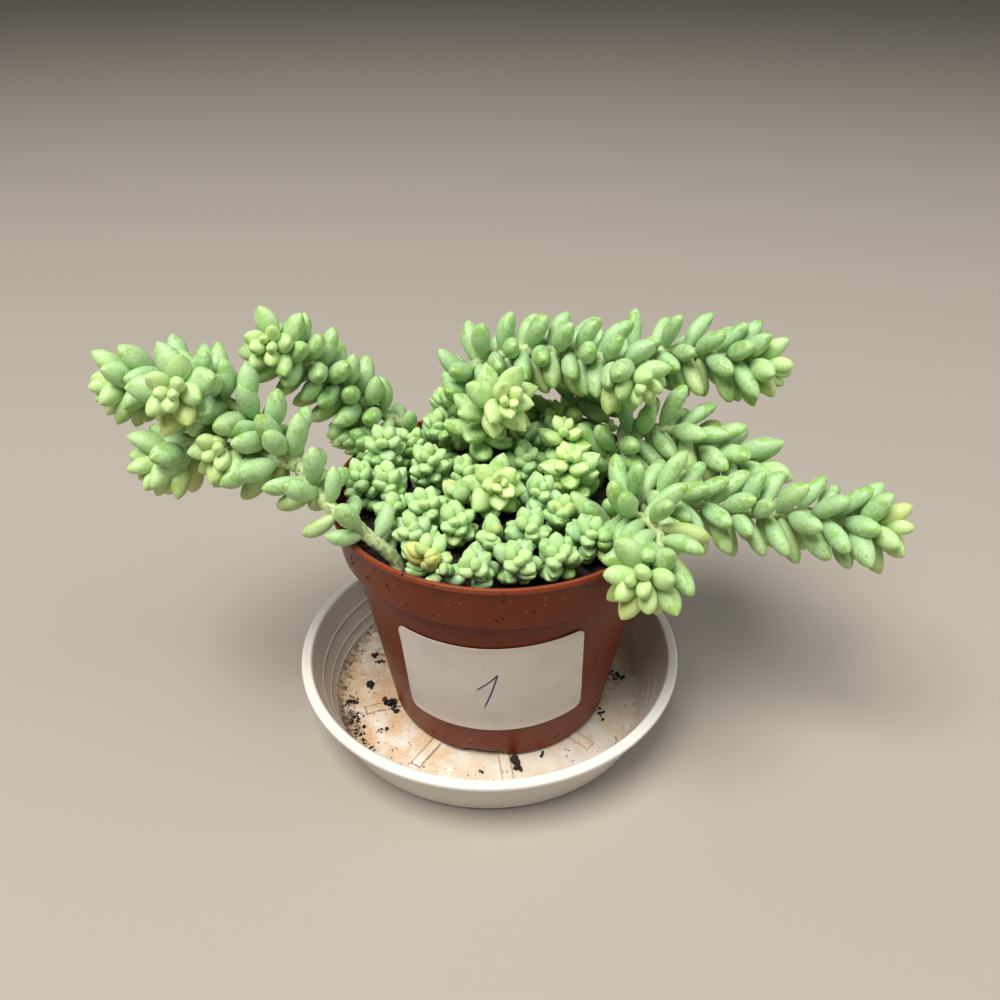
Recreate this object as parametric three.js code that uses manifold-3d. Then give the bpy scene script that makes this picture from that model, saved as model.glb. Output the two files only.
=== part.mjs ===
// A burro's tail succulent in a brown nursery pot on a white saucer, with a paper label on the pot.
// Millimetres, +Z up. The origin is the centre of the saucer's underside, and -Y is the front,
// where the label is. Each separate thing is its own closed mesh. A leafy stem is one mesh: its
// leaves are placed by a rule round the stem's path and joined to it.

import * as THREE from 'three';
import { mergeVertices } from 'three/addons/utils/BufferGeometryUtils.js';
import Module from 'manifold-3d';

const wasm = await Module();
wasm.setup();

// ---------------------------------------------------------------- driving dimensions

const GAP = 0.3; // between things that touch
const ROUND_SIDES = 26;
const SOIL_SIDES = 16;

const SAUCER_RIM_RADIUS = 73;
const SAUCER_HEIGHT = 24.4;
const SAUCER_FLOOR_RADIUS = 60;
const SAUCER_FLOOR_TOP = 1.8;
const SAUCER_LIP = 3.6; // width of the flat rim edge
const RIB_COUNT = 9; // raised bars on the saucer's floor
const RIB_START_ANGLE = -82;
const RIB_INNER = 20;
const RIB_OUTER = 51;
const RIB_WIDTH = 4;
const RIB_TOP = 2.5;

const POT_X = 4; // the pot stands a little off the saucer's centre
const POT_Y = 3;
const POT_FOOT = RIB_TOP + GAP;
const POT_TOP = 93.6;
const POT_RIM_RADIUS = 60;
const POT_STEP_HEIGHT = 76; // lower edge of the rim band
const BAND_RADIUS = 57.5; // outside of the band at its lower edge
const BODY_TOP_RADIUS = 54;
const BODY_FOOT_RADIUS = 42.2;
const POT_WALL = 1.2;
const LIP_HEIGHT = 2; // of the lip round the pot's mouth
const LIP_WIDTH = 1.4;
const LIP_STEP = 0.8; // how far the lip stands out of the band
const POT_BEVEL = 0.3;
const FOOT_RING_WIDTH = 5.5;
const FOOT_HEIGHT = 2.6;
const NOTCH_ANGLES = [-98, -8, 82, 172]; // water gaps between the feet
const NOTCH_WIDTH = 16;
const DRAIN_RADIUS = 2.5;
const DRAIN_RING = 27;
const DRAIN_ANGLES = [41, 131, 221, 311];

const SOIL_EDGE = 84.5; // soil height at the pot's wall
const SOIL_CROWN = 86.5; // and in the middle
const HOLE_BOTTOM = 74;
const HOLE_CLEARANCE = 1.3;
const HOLE_SIDES = 5;

const LABEL_WIDTH = 66.2;
const LABEL_HEIGHT = 44.8;
const LABEL_CORNER = 3;
const LABEL_MIDDLE = 41.4; // height of its centre
const LABEL_TURN = -3.5; // degrees round the pot from the front
const LABEL_LEAN = 2.3; // degrees that it is stuck on askew
const LABEL_THICKNESS = 0.5;

// How leafy stems grow: the long trailing ones, the stouter ones, the broad-leaved head in the middle
// and the one in front of it, the small heads and spikes, and the young shoots that fill the pot.
// leaf is a grown leaf's length, inner the share of it that the youngest has, and breadth a leaf's
// width per length. spacing is the distance between leaves along the stem, and density scales it at
// the tip, where leaves crowd over the length ramp and grow to full size over the length head. open
// is how many degrees a grown leaf stands out, and curl how much it bends back. stem is the stem's
// radius, and bare the leafless length at its start, in and just above the soil. The solids leave out
// leaves younger than smallest and keep a share of the others; core is the size of the tip's bud.
const LONG = {
  leaf: 16.6, inner: 0.3, breadth: 0.37, spacing: 1.4, head: 8, ramp: 18, density: 0.46, open: 62,
  curl: 0.16, stem: 1.9, bare: 14, smallest: 0.5, kept: 0.36, core: 3.6,
};
const STOUT = { ...LONG, leaf: 15.6, inner: 0.2, breadth: 0.46, head: 9.5, stem: 2.3 };
const BROAD = {
  ...LONG, leaf: 14.2, inner: 0.2, breadth: 0.52, spacing: 1.8, head: 9, density: 0.4, stem: 2,
  bare: 26, smallest: 0.4, kept: 0.6, core: 3.2,
};
const FRONT = { ...BROAD, leaf: 11.8, breadth: 0.56, bare: 13 };
const MIDDLE = {
  ...BROAD, leaf: 10.5, breadth: 0.56, spacing: 1.6, head: 7, ramp: 13, stem: 1.7, bare: 13, core: 2.8,
};
const YOUNG = {
  leaf: 8.2, inner: 0.42, breadth: 0.6, spacing: 0.9, head: 4.6, ramp: 7, density: 0.52, open: 54,
  curl: 0.2, stem: 1.5, bare: 12.5, smallest: 0.42, kept: 0.36, core: 3,
};

// Paths of the long stems, from the soil to the growing tip. A stem with several is branched. On the
// first sparse millimetres of an old stem the leaves stand apart.
const LONG_STEMS = [
  { name: 'stem_right_long', kind: LONG, sparse: 0, paths: [
    [[45, -9, 76], [45, -9, 88], [50, -9, 95], [58, -10, 98], [69, -11, 96], [83, -13, 93],
      [97, -16, 95], [108, -18, 95], [120, -20, 94], [133, -24, 94]]] },
  { name: 'stem_front_right', kind: LONG, sparse: 0, paths: [
    [[40, -20, 76], [40, -20, 88], [45, -24, 98], [52, -32, 102], [54, -40, 99], [51, -48, 95],
      [46, -56, 97]]] },
  { name: 'stem_left', kind: STOUT, sparse: 44, paths: [
    [[-30, -33, 76], [-30, -33, 87], [-40, -32, 98], [-52, -26, 105], [-60, -18, 112],
      [-70, -11, 121], [-82, -5, 128], [-92, -4, 134], [-97, -11, 139], [-97, -20, 143]],
    [[-84, -4, 129], [-99, 3, 134], [-113, 5, 135], [-126, 1, 133]],
    [[-62, -17, 114], [-74, -14, 116], [-82, -14, 119], [-86, -21, 123]],
    [[-82, -5, 127], [-93, -8, 120], [-103, -12, 115], [-111, -17, 112]]] },
  { name: 'stem_left_back', kind: STOUT, sparse: 38, paths: [
    [[-21, 32, 76], [-21, 32, 88], [-26, 32, 98], [-35, 32, 105], [-45, 31, 111], [-54, 30, 119],
      [-61, 28, 127], [-68, 24, 134], [-73, 20, 140], [-74, 13, 144]]] },
  { name: 'stem_middle', kind: BROAD, sparse: 0, paths: [
    [[-6, 22, 76], [-6, 22, 88], [-5, 21, 102], [-1, 17, 115], [3, 10, 124], [7, 1, 129]]] },
  { name: 'stem_top', kind: STOUT, sparse: 0, paths: [
    [[-10, 42, 76], [-10, 42, 88], [-10, 42, 108], [-5, 39, 124], [8, 35, 131], [22, 30, 134],
      [36, 23, 135], [46, 15, 134], [52, 5, 132]]] },
  { name: 'stem_back_right', kind: LONG, sparse: 0, paths: [
    [[27, 38, 76], [27, 38, 88], [34, 42, 108], [49, 43, 123], [63, 41, 129], [76, 37, 130],
      [90, 33, 129], [102, 29, 128]]] },
  { name: 'stem_right_middle', kind: LONG, sparse: 0, paths: [
    [[41, 17, 76], [41, 17, 88], [47, 19, 100], [56, 19, 107], [66, 19, 108], [79, 18, 102],
      [92, 16, 96], [102, 13, 91]]] },
  { name: 'head_front', kind: FRONT, sparse: 0, paths: [
    [[2, -1, 76], [2, -1, 88], [2, -5, 98], [4, -15, 106]]] },
  { name: 'head_back', kind: MIDDLE, sparse: 0, paths: [
    [[36, 28, 76], [36, 28, 88], [40, 28, 96], [45, 27, 104]]] },
  { name: 'spike_back', kind: MIDDLE, sparse: 0, paths: [
    [[25, 15, 76], [25, 15, 88], [26, 15, 100], [27, 13, 112]]] },
  { name: 'spike_front', kind: MIDDLE, sparse: 0, paths: [
    [[31, 3, 76], [31, 3, 88], [29, 2, 99], [27, -2, 109]]] },
  { name: 'shoot_over_rim', kind: YOUNG, sparse: 0, paths: [
    [[-37, 22, 76], [-37, 22, 88], [-41, 23, 97], [-49, 24, 103], [-56, 24, 105]]] },
];
const SPARSE_SPACING = 2.7; // times the usual distance between leaves on an old stretch of stem
const SPARSE_LEAF = 0.86; // times their usual length there
const BRANCH_BARE = 5; // the leafless start of a branch

// Young shoots: where each stands in the soil, and where its tip is.
const YOUNG_SHOOTS = [
  [[-37, 15], [-37, 9, 110]],
  [[-42, 1], [-45, -1, 102]],
  [[-28, 22], [-29, 20, 104]],
  [[-15, 35], [-19, 31, 105]],
  [[-20, 11], [-21, 5, 105]],
  [[-21, -13], [-21, -18, 101]],
  [[-35, -2], [-36, -4, 103]],
  [[-23, -26], [-25, -31, 99]],
  [[-11, -20], [-11, -27, 100]],
  [[-18, -39], [-19, -42, 99]],
  [[-13, -44], [-15, -49, 95]],
  [[-4, -43], [-5, -50, 98]],
  [[9, -39], [9, -47, 99]],
  [[22, -37], [22, -45, 99]],
  [[13, -24], [13, -31, 100]],
  [[32, -27], [33, -34, 100]],
  [[14, 30], [13, 26, 103]],
  [[24, 29], [27, 37, 107]],
  [[17, -4], [17, -12, 102]],
  [[13, 15], [13, 7, 104]],
  [[-9, -8], [-10, -13, 101]],
  [[-31, -13], [-31, -16, 98]],
  [[15, 45], [20, 46, 104]],
  [[25, -15], [25, -20, 100]],
  [[-8, 7], [-9, 4, 101]],
  [[2, -26], [2, -30, 96]],
  [[-14, 43], [-16, 41, 111]],
];

// ---------------------------------------------------------------- solids

function toSolid(geometry) {
  const bare = geometry.clone();
  bare.deleteAttribute('normal');
  bare.deleteAttribute('uv');
  const merged = mergeVertices(bare, 1e-4);
  return new wasm.Manifold(new wasm.Mesh({
    numProp: 3,
    vertProperties: new Float32Array(merged.attributes.position.array),
    triVerts: new Uint32Array(merged.index.array),
  }));
}

function toMesh(name, solid, material) {
  const { vertProperties, triVerts } = solid.getMesh();
  const geometry = new THREE.BufferGeometry();
  geometry.setAttribute('position', new THREE.BufferAttribute(new Float32Array(vertProperties), 3));
  geometry.setIndex(largestShell(triVerts, vertProperties.length / 3));
  geometry.computeVertexNormals();
  const mesh = new THREE.Mesh(geometry, material);
  mesh.name = name;
  return mesh;
}

// The largest of a solid's closed shells. Scraps and hollows that joining left sealed are dropped.
function largestShell(triVerts, vertexCount) {
  const root = Array.from({ length: vertexCount }, (_, i) => i);
  const find = (i) => {
    let top = i;
    while (root[top] !== top) {
      top = root[top];
    }
    root[i] = top;
    return top;
  };
  for (let i = 0; i < triVerts.length; i += 3) {
    root[find(triVerts[i + 1])] = find(triVerts[i]);
    root[find(triVerts[i + 2])] = find(triVerts[i]);
  }
  const shells = new Map();
  for (let i = 0; i < triVerts.length; i += 3) {
    const shell = find(triVerts[i]);
    shells.set(shell, [...(shells.get(shell) ?? []), triVerts[i], triVerts[i + 1], triVerts[i + 2]]);
  }
  return [...shells.values()].reduce((most, next) => (next.length > most.length ? next : most));
}

// A turned shape about +Z from [radius, height] pairs that start and end on the axis.
function turned(outline, sides = ROUND_SIDES) {
  const geometry = new THREE.LatheGeometry(outline.map(([r, z]) => new THREE.Vector2(r, z)), sides);
  geometry.rotateX(Math.PI / 2);
  return geometry;
}

function radians(degrees) {
  return degrees * Math.PI / 180;
}

// The height-to-radius line of the pot's conical body, outside.
function bodyRadius(z) {
  const share = (z - POT_FOOT) / (POT_STEP_HEIGHT - POT_FOOT);
  return BODY_FOOT_RADIUS + (BODY_TOP_RADIUS - BODY_FOOT_RADIUS) * share;
}

// ---------------------------------------------------------------- saucer

function buildSaucer() {
  const wallFoot = [SAUCER_FLOOR_RADIUS + 1, SAUCER_FLOOR_TOP + 1.4];
  const wallHead = [SAUCER_RIM_RADIUS - SAUCER_LIP - 0.6, SAUCER_HEIGHT - 1];
  const dish = toSolid(turned([
    [0, 0],
    [SAUCER_FLOOR_RADIUS, 0],
    [SAUCER_FLOOR_RADIUS + 2.4, 1.6],
    [SAUCER_RIM_RADIUS - 2.6, SAUCER_HEIGHT - 3],
    [SAUCER_RIM_RADIUS, SAUCER_HEIGHT - 2],
    [SAUCER_RIM_RADIUS, SAUCER_HEIGHT - 0.4],
    [SAUCER_RIM_RADIUS - 0.5, SAUCER_HEIGHT],
    [SAUCER_RIM_RADIUS - SAUCER_LIP, SAUCER_HEIGHT],
    wallHead,
    wallFoot,
    [SAUCER_FLOOR_RADIUS - 1, SAUCER_FLOOR_TOP],
    [0, SAUCER_FLOOR_TOP],
  ]));
  const ribLength = RIB_OUTER - RIB_INNER;
  const ribSink = 0.6;
  let saucer = dish;
  for (let i = 0; i < RIB_COUNT; i += 1) {
    const rib = new THREE.BoxGeometry(ribLength, RIB_WIDTH, RIB_TOP - SAUCER_FLOOR_TOP + ribSink);
    rib.translate(RIB_INNER + ribLength / 2, 0, (RIB_TOP + SAUCER_FLOOR_TOP - ribSink) / 2);
    rib.rotateZ(radians(RIB_START_ANGLE + i * 360 / RIB_COUNT));
    saucer = saucer.add(toSolid(rib));
  }
  return saucer;
}

// ---------------------------------------------------------------- pot

function buildPot() {
  const floorUnder = POT_FOOT + FOOT_HEIGHT;
  const floorTop = floorUnder + POT_WALL;
  const step = POT_STEP_HEIGHT;
  let pot = toSolid(turned([
    [0, floorUnder],
    [BODY_FOOT_RADIUS - FOOT_RING_WIDTH - 0.6, floorUnder],
    [BODY_FOOT_RADIUS - FOOT_RING_WIDTH, POT_FOOT],
    [BODY_FOOT_RADIUS, POT_FOOT],
    [BODY_TOP_RADIUS, step],
    [BAND_RADIUS, step + POT_BEVEL],
    [POT_RIM_RADIUS - LIP_STEP, POT_TOP - LIP_HEIGHT],
    [POT_RIM_RADIUS, POT_TOP - LIP_HEIGHT + POT_BEVEL],
    [POT_RIM_RADIUS, POT_TOP - POT_BEVEL],
    [POT_RIM_RADIUS - POT_BEVEL, POT_TOP],
    [POT_RIM_RADIUS - LIP_WIDTH, POT_TOP],
    [BAND_RADIUS - POT_WALL, step + POT_WALL],
    [BODY_TOP_RADIUS - POT_WALL, step - 0.6],
    [bodyRadius(floorTop) - POT_WALL, floorTop],
    [0, floorTop],
  ]));
  const top = FOOT_HEIGHT - 0.2;
  const notchShape = new THREE.Shape([
    new THREE.Vector2(-NOTCH_WIDTH / 2 - 1, -1),
    new THREE.Vector2(NOTCH_WIDTH / 2 + 1, -1),
    new THREE.Vector2(NOTCH_WIDTH / 2 - 1.5, top),
    new THREE.Vector2(-NOTCH_WIDTH / 2 + 1.5, top),
  ]);
  for (const angle of NOTCH_ANGLES) {
    const notch = new THREE.ExtrudeGeometry(notchShape, { depth: FOOT_RING_WIDTH + 6, bevelEnabled: false });
    notch.rotateX(Math.PI / 2);
    notch.rotateZ(Math.PI / 2);
    notch.translate(BODY_FOOT_RADIUS - FOOT_RING_WIDTH - 3, 0, POT_FOOT);
    notch.rotateZ(radians(angle));
    pot = pot.subtract(toSolid(notch));
  }
  for (const angle of DRAIN_ANGLES) {
    const hole = turned([[0, 0], [DRAIN_RADIUS, 0], [DRAIN_RADIUS, 6], [0, 6]], 10);
    hole.translate(DRAIN_RING, 0, floorUnder - 2);
    hole.rotateZ(radians(angle));
    pot = pot.subtract(toSolid(hole));
  }
  return pot.translate([POT_X, POT_Y, 0]);
}

// ---------------------------------------------------------------- label

// A sheet bent round the conical body: x and y of the flat sheet become a turn and a distance
// from the cone's tip, so the sheet keeps its size.
function buildLabel() {
  const slope = Math.atan((BODY_TOP_RADIUS - BODY_FOOT_RADIUS) / (POT_STEP_HEIGHT - POT_FOOT));
  const tipHeight = POT_FOOT - BODY_FOOT_RADIUS / Math.tan(slope);
  const fromTip = (LABEL_MIDDLE - tipHeight) / Math.cos(slope);
  const sheet = new THREE.BoxGeometry(LABEL_WIDTH, LABEL_HEIGHT, LABEL_THICKNESS, 18, 1, 1);
  const place = sheet.attributes.position;
  const straight = LABEL_WIDTH / 2 - LABEL_CORNER;
  const lean = radians(LABEL_LEAN);
  for (let i = 0; i < place.count; i += 1) {
    const past = Math.max(0, Math.abs(place.getX(i)) - straight);
    const cornerDrop = LABEL_CORNER - Math.sqrt(Math.max(0, LABEL_CORNER ** 2 - past ** 2));
    const flatY = place.getY(i) * (1 - 2 * cornerDrop / LABEL_HEIGHT);
    const x = place.getX(i) * Math.cos(lean) - flatY * Math.sin(lean);
    const y = place.getX(i) * Math.sin(lean) + flatY * Math.cos(lean);
    const reach = Math.hypot(x, fromTip + y);
    const turn = Math.atan2(x, fromTip + y) / Math.sin(slope) + radians(LABEL_TURN);
    const out = GAP + LABEL_THICKNESS / 2 + place.getZ(i);
    const radius = reach * Math.sin(slope) + out * Math.cos(slope);
    const height = tipHeight + reach * Math.cos(slope) - out * Math.sin(slope);
    place.setXYZ(i, POT_X + radius * Math.sin(turn), POT_Y - radius * Math.cos(turn), height);
  }
  return toSolid(sheet);
}

// ---------------------------------------------------------------- soil

function soilHeight(x, y) {
  const share = Math.hypot(x - POT_X, y - POT_Y) / (BAND_RADIUS - POT_WALL);
  return SOIL_CROWN - (SOIL_CROWN - SOIL_EDGE) * share * share;
}

function buildSoil(stems) {
  const bottom = POT_FOOT + FOOT_HEIGHT + POT_WALL + GAP;
  const step = POT_STEP_HEIGHT;
  const clear = POT_WALL + 3 * GAP;
  let soil = toSolid(turned([
    [0, bottom],
    [bodyRadius(bottom) - clear, bottom],
    [BODY_TOP_RADIUS - clear, step - 0.4],
    [BAND_RADIUS - clear, step + POT_WALL + 0.4],
    [BAND_RADIUS - clear + 0.8, SOIL_EDGE],
    [BAND_RADIUS * 0.7, (SOIL_EDGE + SOIL_CROWN) / 2],
    [0, SOIL_CROWN],
  ], SOIL_SIDES)).translate([POT_X, POT_Y, 0]);
  for (const stem of stems) {
    if (stem.points[0][2] < SOIL_EDGE) {
      const radius = stem.kind.stem + HOLE_CLEARANCE;
      const deep = SOIL_CROWN + 4 - HOLE_BOTTOM;
      const hole = turned([[0, 0], [radius, 0], [radius, deep], [0, deep]], HOLE_SIDES);
      hole.translate(stem.points[0][0], stem.points[0][1], HOLE_BOTTOM);
      soil = soil.subtract(toSolid(hole));
    }
  }
  return soil;
}

// ---------------------------------------------------------------- how a stem grows

const GOLDEN_TURN = Math.PI * (3 - Math.sqrt(5));
const STEPS_PER_SPAN = 12;
const DROOP = 0.2; // how much a leaf's weight turns it down
const LEAF_GAP = 0.4; // kept between leaves of different stems
const RIM_INSIDE = POT_RIM_RADIUS - 4; // leaves keep off the rim from here outwards
const TOUCH_POINTS = [[0.3, 0.42], [0.55, 0.5], [0.82, 0.36]]; // place along a leaf, radius per breadth

function randomSource(seed) {
  let state = seed;
  return () => {
    state = (state * 1664525 + 1013904223) % 4294967296;
    return state / 4294967296;
  };
}

function vector([x, y, z]) {
  return new THREE.Vector3(x, y, z);
}

// Points along a smooth path, each with its distance from the start, its direction and a side
// direction that turns as little as possible.
function walkPath(points) {
  const curve = new THREE.CatmullRomCurve3(points.map(vector), false, 'catmullrom', 0.5);
  const count = (points.length - 1) * STEPS_PER_SPAN;
  const walk = [];
  for (let i = 0; i <= count; i += 1) {
    walk.push({ at: curve.getPoint(i / count), far: 0 });
  }
  const side = new THREE.Vector3(1, 0, 0);
  walk.forEach((stop, i) => {
    const before = walk[Math.max(0, i - 1)];
    const after = walk[Math.min(count, i + 1)];
    stop.far = i === 0 ? 0 : before.far + stop.at.distanceTo(before.at);
    stop.ahead = after.at.clone().sub(before.at).normalize();
    side.addScaledVector(stop.ahead, -side.dot(stop.ahead)).normalize();
    stop.side = side.clone();
  });
  return walk;
}

function stopAt(walk, far) {
  let i = 1;
  while (i < walk.length - 1 && walk[i].far < far) {
    i += 1;
  }
  const share = (far - walk[i - 1].far) / (walk[i].far - walk[i - 1].far);
  return {
    at: walk[i - 1].at.clone().lerp(walk[i].at, share),
    ahead: walk[i].ahead,
    side: walk[i].side,
  };
}

// A leaf leaves the stem sideways and curves towards the stem's tip.
function makeLeaf(kind, stop, turn, splay, length, crowd) {
  const across = stop.ahead.clone().cross(stop.side);
  const outward = stop.side.clone().multiplyScalar(Math.cos(turn)).addScaledVector(across, Math.sin(turn));
  const way = stop.ahead.clone().multiplyScalar(Math.cos(splay)).addScaledVector(outward, Math.sin(splay));
  way.z -= DROOP;
  way.normalize();
  const inward = stop.ahead.clone().addScaledVector(way, -stop.ahead.dot(way)).normalize();
  const breadth = length * (kind.breadth + 0.14 * (1 - crowd)) + 0.6;
  const base = stop.at.clone().addScaledVector(outward, kind.stem * 0.2);
  return { base, way, inward, length, breadth, curl: kind.curl };
}

function leafPoint(leaf, share) {
  return leaf.base.clone()
    .addScaledVector(leaf.way, leaf.length * share)
    .addScaledVector(leaf.inward, leaf.length * share * share * leaf.curl);
}

// True if a ball is clear of the pot's wall and rim, the soil and everything that grew before.
function isClear(at, radius, owner, grown) {
  const out = Math.hypot(at.x - POT_X, at.y - POT_Y);
  const reach = radius + LEAF_GAP;
  const low = at.z - reach;
  if (low < POT_TOP && out + reach > RIM_INSIDE && out - reach < POT_RIM_RADIUS) {
    return false;
  }
  if (out < POT_RIM_RADIUS && low < soilHeight(at.x, at.y)) {
    return false;
  }
  return grown.every((ball) => ball.owner === owner
    || at.distanceTo(ball.at) > radius + ball.radius + LEAF_GAP);
}

function leafBalls(leaf) {
  return TOUCH_POINTS.map(([share, width]) => ({
    at: leafPoint(leaf, share),
    radius: leaf.breadth * width,
  }));
}

// The first of several turns, splays and sizes at which the leaf is clear of other stems.
function growLeaf(stem, stop, turn, splay, length, crowd, grown) {
  for (const size of [1, 0.88, 0.76, 0.64]) {
    for (const lift of [0, -0.3, 0.25, -0.55]) {
      for (const bend of [0, 0.3, -0.3, 0.6, -0.6, 0.9, -0.9]) {
        const leaf = makeLeaf(stem.kind, stop, turn + bend, splay + lift, length * size, crowd);
        const balls = leafBalls(leaf);
        if (balls.every((ball) => isClear(ball.at, ball.radius, stem, grown))) {
          balls.forEach((ball) => grown.push({ ...ball, owner: stem }));
          return leaf;
        }
      }
    }
  }
  return null;
}

function growStem(stem, grown) {
  const { kind, walk } = stem;
  const random = randomSource(stem.seed);
  const total = walk[walk.length - 1].far;
  let far = stem.bare;
  let turn = random() * 2 * Math.PI;
  const leaves = [];
  while (far < total - 0.4) {
    const young = Math.min(1, (total - far) / kind.head);
    const crowd = Math.min(1, (total - far) / kind.ramp);
    const isSparse = far < stem.sparse;
    const grownShare = kind.inner + (1 - kind.inner) * young ** 0.65;
    const length = kind.leaf * grownShare * (0.92 + 0.16 * random()) * (isSparse ? SPARSE_LEAF : 1);
    const splay = radians(12 + kind.open * young ** 0.5) + 0.16 * (random() - 0.5);
    const wobble = 0.3 * (random() - 0.5);
    const leaf = growLeaf(stem, stopAt(walk, far), turn + wobble, splay, length, crowd, grown);
    if (leaf) {
      leaves.push({ ...leaf, young });
    }
    turn += GOLDEN_TURN;
    const density = kind.density + (1 - kind.density) * crowd;
    far += kind.spacing * density * (isSparse ? SPARSE_SPACING : 1);
  }
  return leaves;
}

function planStems() {
  const stems = [];
  LONG_STEMS.forEach(({ name, kind, sparse, paths }, i) => {
    paths.forEach((points, j) => {
      const seed = 100 * i + 10 * j + 7;
      const isBranch = j > 0;
      const bare = isBranch ? BRANCH_BARE : kind.bare;
      stems.push({ name, kind, points, bare, sparse: isBranch ? 0 : sparse, seed });
    });
  });
  YOUNG_SHOOTS.forEach(([[x, y], tip], i) => {
    const points = [[x, y, HOLE_BOTTOM + 1], [x, y, SOIL_CROWN + 1], tip];
    const name = `shoot_${String(i + 1).padStart(2, '0')}`;
    stems.push({ name, kind: YOUNG, points, bare: YOUNG.bare, sparse: 0, seed: 5000 + 31 * i });
  });
  const grown = [];
  for (const stem of stems) {
    stem.walk = walkPath(stem.points);
    for (const stop of stem.walk.filter((_, i) => i % 3 === 0)) {
      grown.push({ at: stop.at, radius: stem.kind.stem, owner: stem });
    }
  }
  for (const stem of stems) {
    stem.leaves = growStem(stem, grown);
  }
  return stems;
}

// ---------------------------------------------------------------- stems and leaves as solids

const LEAF_SIDES = 3;
const STEM_SIDES = 4;
const STEM_STEP = 12;
const LEAF_OUTLINE = [[0, 0], [0.56, 0.46], [0.48, 0.84], [0, 1]]; // radius per breadth, place along

function leafSolid(leaf) {
  const outline = LEAF_OUTLINE.map(([r, t]) => new THREE.Vector2(r, t));
  const blade = new THREE.LatheGeometry(outline, LEAF_SIDES);
  const across = leaf.way.clone().cross(leaf.inward);
  const place = blade.attributes.position;
  for (let i = 0; i < place.count; i += 1) {
    const at = leafPoint(leaf, place.getY(i))
      .addScaledVector(across, -place.getX(i) * leaf.breadth)
      .addScaledVector(leaf.inward, -place.getZ(i) * leaf.breadth * 0.9);
    place.setXYZ(i, at.x, at.y, at.z);
  }
  return toSolid(blade);
}

function stemSolid(stem) {
  const curve = new THREE.CatmullRomCurve3(stem.points.map(vector), false, 'catmullrom', 0.5);
  const corners = [];
  for (let i = 0; i < STEM_SIDES; i += 1) {
    const angle = i * 2 * Math.PI / STEM_SIDES;
    corners.push(new THREE.Vector2(stem.kind.stem * Math.cos(angle), stem.kind.stem * Math.sin(angle)));
  }
  const steps = Math.max(3, Math.round(curve.getLength() / STEM_STEP));
  return toSolid(new THREE.ExtrudeGeometry(new THREE.Shape(corners), { steps, extrudePath: curve }));
}

// The bud at a stem's tip: the smallest leaves, which the grown ones stand round.
function budSolid(stem) {
  const tip = stem.walk[stem.walk.length - 1];
  const { core } = stem.kind;
  const bud = turned([[0, -core], [core * 0.9, 0], [core * 0.6, core * 0.9], [0, core * 1.3]], 4);
  bud.applyQuaternion(new THREE.Quaternion().setFromUnitVectors(new THREE.Vector3(0, 0, 1), tip.ahead));
  bud.translate(tip.at.x, tip.at.y, tip.at.z);
  return toSolid(bud);
}

function leafyStem(stem) {
  let solid = stemSolid(stem).add(budSolid(stem));
  const { kept, smallest } = stem.kind;
  for (const [i, leaf] of stem.leaves.entries()) {
    const isKept = Math.floor((i + 1) * kept) > Math.floor(i * kept);
    if (leaf.young >= smallest && isKept) {
      solid = solid.add(leafSolid(leaf));
    }
  }
  return solid;
}

// ---------------------------------------------------------------- the whole

function material(color, roughness) {
  return new THREE.MeshStandardMaterial({ color, roughness, metalness: 0, flatShading: true });
}

const part = new THREE.Group();
part.add(toMesh('saucer', buildSaucer(), material(0xe9e5dc, 0.45)));
part.add(toMesh('pot', buildPot(), material(0x7a3a20, 0.5)));
part.add(toMesh('label', buildLabel(), material(0xd9d3cc, 0.85)));

const stems = planStems();
part.add(toMesh('soil', buildSoil(stems), material(0x2d221b, 0.95)));

const names = [...new Set(stems.map((stem) => stem.name))];
for (const name of names) {
  const own = stems.filter((stem) => stem.name === name);
  const solid = own.map(leafyStem).reduce((joined, next) => joined.add(next));
  const colour = [LONG, STOUT].includes(own[0].kind) ? 0xa9c48c : 0x9fc49a;
  part.add(toMesh(name, solid, material(colour, 0.6)));
}

export default part;
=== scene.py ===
import itertools
import math

import bpy
import numpy as np
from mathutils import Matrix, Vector, noise


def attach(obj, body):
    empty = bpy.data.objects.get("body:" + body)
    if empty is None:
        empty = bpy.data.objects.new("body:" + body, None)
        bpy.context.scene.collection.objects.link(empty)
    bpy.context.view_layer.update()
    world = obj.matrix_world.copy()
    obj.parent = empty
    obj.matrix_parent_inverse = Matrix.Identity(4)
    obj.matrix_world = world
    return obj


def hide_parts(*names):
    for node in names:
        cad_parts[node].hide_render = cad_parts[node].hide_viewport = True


# The looks of a burro's tail succulent in a brown nursery pot, on a white saucer, with a paper
# label. Sizes are in millimetres in the frame's axes and become metres where a mesh is made.

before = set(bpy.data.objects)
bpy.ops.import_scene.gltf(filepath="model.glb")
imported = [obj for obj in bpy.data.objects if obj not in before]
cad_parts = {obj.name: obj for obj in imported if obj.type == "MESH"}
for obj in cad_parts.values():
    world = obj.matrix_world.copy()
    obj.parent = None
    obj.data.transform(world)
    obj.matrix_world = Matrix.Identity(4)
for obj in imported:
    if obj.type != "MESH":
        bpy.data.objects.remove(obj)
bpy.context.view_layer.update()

MM = 0.001
BODY = "root"

# ---- driving dimensions

CAMERA_PLACE = (4.0, -278.0, 266.7)
CAMERA_PITCH = 32.47  # degrees below the horizon
CAMERA_LENS = 33.37
SENSOR_WIDTH = 36

SAUCER_ROUND = 288  # points round each turned piece
POT_ROUND = 240
DRAIN_ROUND = 32
SOIL_ROUND = 160
SOIL_RINGS = 60

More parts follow.
